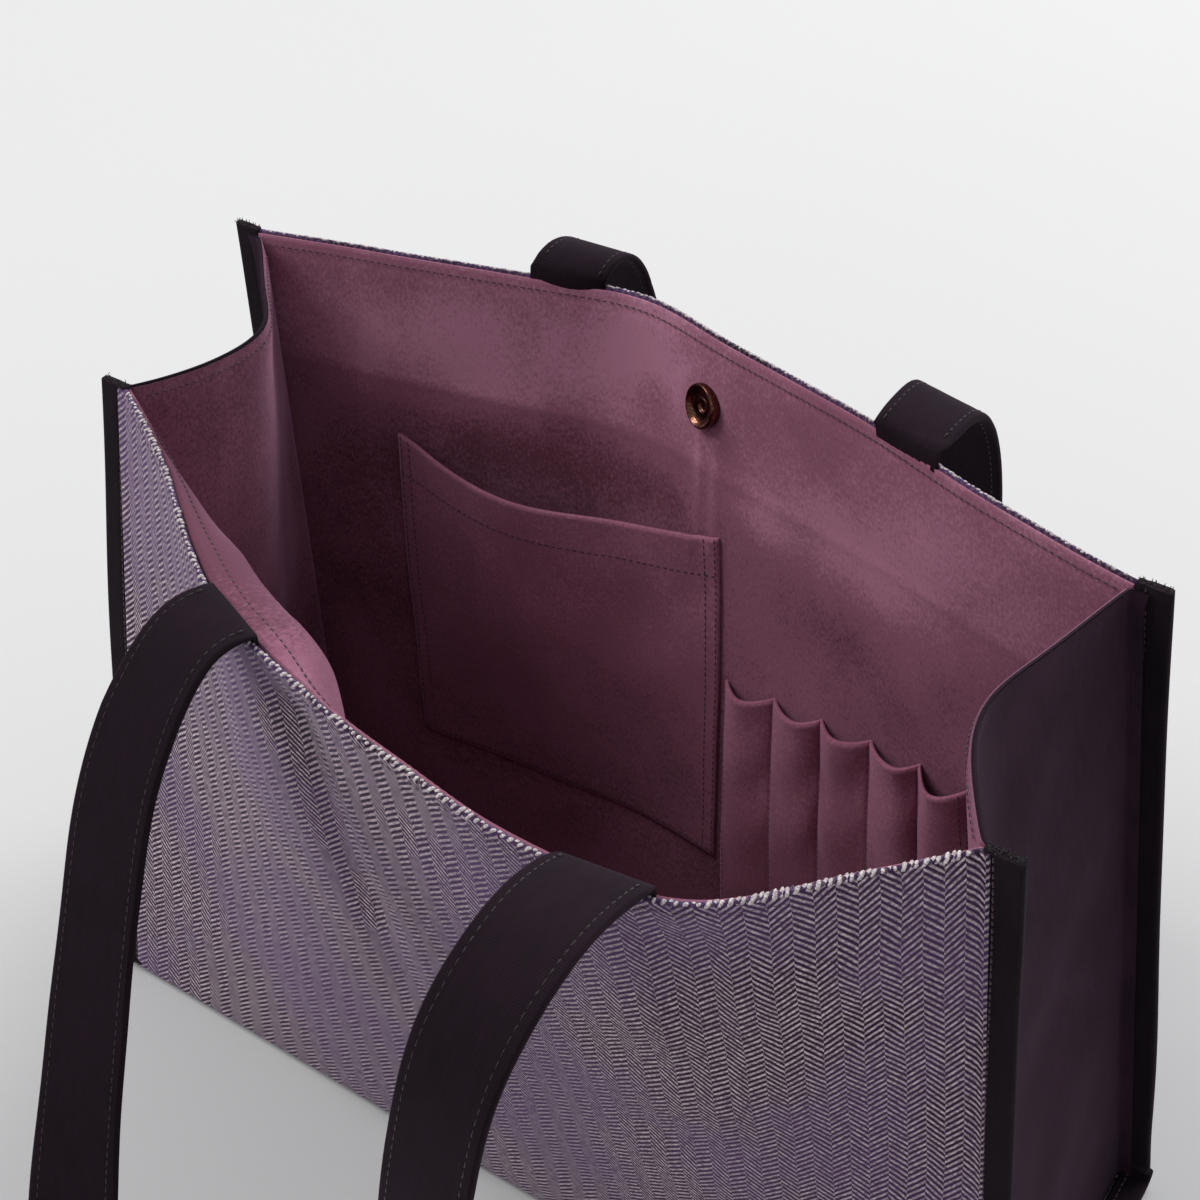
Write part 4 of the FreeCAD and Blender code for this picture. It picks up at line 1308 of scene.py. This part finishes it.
def needle_grid(forward_extra=0.0, low=0.0, high=1.0, rows=NEEDLE_ROWS):
    share = np.linspace(0, 1, NEEDLE_COLUMNS)[None, :]
    rise = np.linspace(high, low, rows)[:, None]
    gape, dip = needle_shape(share)
    first, last = NEEDLE_HIGH
    mouth = first + share * (last - first)
    along = NEEDLE_ALONG[0] + share * (NEEDLE_ALONG[1] - NEEDLE_ALONG[0]) + 0 * rise
    up = NEEDLE_LOW + rise * (mouth - NEEDLE_LOW) - dip / HEIGHT * rise ** 4
    flare = 0.75 * rise ** 1.1 + 0.25 * rise ** 8
    crumple = ripples(share * 130 * MM, rise * 140 * MM, 34 * MM, 77) * 0.7 * MM * rise
    crumple = crumple * smooth_step(gape, 0.5 * MM, 5 * MM)
    return pocket_surface(along, up, gape * flare + crumple + forward_extra)


def make_needle_pocket():
    face = pocket_cloths(
        "needle_pocket", needle_grid, 0.9, 14
    )
    last = NEEDLE_COLUMNS - 1
    for i in range(len(SLOTS) + 1):
        column = min(max(int(round(last * i / len(SLOTS))), 1), last - 1)
        pocket_stitches("needle_pocket_seam_%d" % i, face[:, column], 90 + i)
    pocket_stitches("needle_pocket_end_stitch", face[:, -5], 99)


make_slip_pocket()
make_needle_pocket()


# ---------------------------------------------------------------- magnetic snap
LATHE_STEPS = 64


def lathe(name, profile, origin, axis):
    """A turned piece of bronze: profile is (radius, height) along the axis, in mm."""
    up = unit(axis)
    side = unit(np.cross(up, (0.3, 0.1, 0.9)))
    other = np.cross(up, side)
    vertices = []
    for radius, height in np.array(profile) * MM:
        for i in range(LATHE_STEPS):
            angle = math.tau * i / LATHE_STEPS
            spoke = side * math.cos(angle) + other * math.sin(angle)
            vertices.append(origin + up * height + spoke * radius)
    return add_tube(name, vertices, len(profile), LATHE_STEPS, BRONZE)


def wall_frame(wall, soft, along, drop):
    """Point and unit normal on a lining at one place."""
    place = wall.at(along, drop, SIDE_THICK + soft(np.array(along), np.array(drop)))
    run = wall.at(along + 0.01, drop) - wall.at(along - 0.01, drop)
    rise = wall.at(along, drop - 2 * MM) - wall.at(along, drop + 2 * MM)
    normal = unit(np.cross(run, rise))
    return place, normal if normal @ wall.inward > 0 else -normal


def make_snap():
    place, normal = wall_frame(rear, rear_soft, SNAP_ALONG, SNAP_DROP)
    normal = unit(normal + (-0.16, 0.0, 0.08))
    profile = (
        (8.2, -1.1), (8.7, -0.8), (9.0, 0.2), (9.0, 2.2), (8.9, 2.9), (8.65, 3.3), (8.35, 3.4),
        (8.05, 3.3), (7.8, 3.0), (7.3, 2.3), (6.3, 1.6), (5.2, 1.25), (4.0, 1.1), (3.3, 1.2),
        (2.9, 1.5), (2.6, 1.55), (2.4, 1.3), (2.3, 0.7), (1.6, 0.5), (0.1, 0.45),
    )
    socket = lathe("snap_socket", profile, place, normal)
    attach(socket, "rear_side")
    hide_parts("rear_snap_case", "rear_snap_magnet", "rear_snap_washer")
    place, normal = wall_frame(front, front_soft, SNAP_ALONG, SNAP_DROP)
    profile = (
        (8.3, -0.1), (8.8, 0.0), (9.0, 0.3), (8.9, 0.6), (8.4, 0.85), (6.5, 1.05), (4.0, 1.15),
        (2.8, 1.2), (2.4, 1.35), (2.3, 1.7), (2.3, 2.5), (2.1, 2.8), (1.6, 2.95), (0.1, 3.0),
    )
    stud = lathe("snap_stud", profile, place, normal)
    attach(stud, "front_side")
    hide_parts("front_snap_stud", "front_snap_washer")


make_snap()


# ---------------------------------------------------------------- floor and light
def add_floor():
    bpy.ops.mesh.primitive_plane_add(size=14, location=(0, 0, -0.2 * MM))
    floor = bpy.context.object
    floor.name = "floor"
    s = Shader("studio_floor", Roughness=0.85)
    tint = s.noise(s.object_place(), 1.2, 2, 0.5)
    s.colour(s.mix(tint, rgb(196, 196, 196), rgb(200, 200, 200)))
    floor.data.materials.append(s.material)


def add_area(name, place, target, size, power, colour):
    light = bpy.data.lights.new(name, "AREA")
    light.energy = power
    light.size = size
    light.color = colour
    lamp = bpy.data.objects.new(name, light)
    lamp.location = place
    aim = Vector(target) - Vector(place)
    lamp.rotation_euler = aim.to_track_quat("-Z", "Y").to_euler()
    bpy.context.scene.collection.objects.link(lamp)


def add_light():
    world = bpy.data.worlds.new("studio")
    world.use_nodes = True
    world.node_tree.nodes["Background"].inputs[0].default_value = (0.93, 0.95, 1.0, 1.0)
    world.node_tree.nodes["Background"].inputs[1].default_value = 0.52
    bpy.context.scene.world = world
    middle = (0, 0, 0.15)
    add_area("key", (-3.0, -1.3, 3.7), middle, 2.4, 140, (1.0, 0.99, 0.97))
    add_area("back", (0.5, 2.9, 2.9), middle, 2.8, 125, (1.0, 0.995, 0.985))


add_floor()
add_light()
bpy.context.scene.view_settings.view_transform = "Standard"
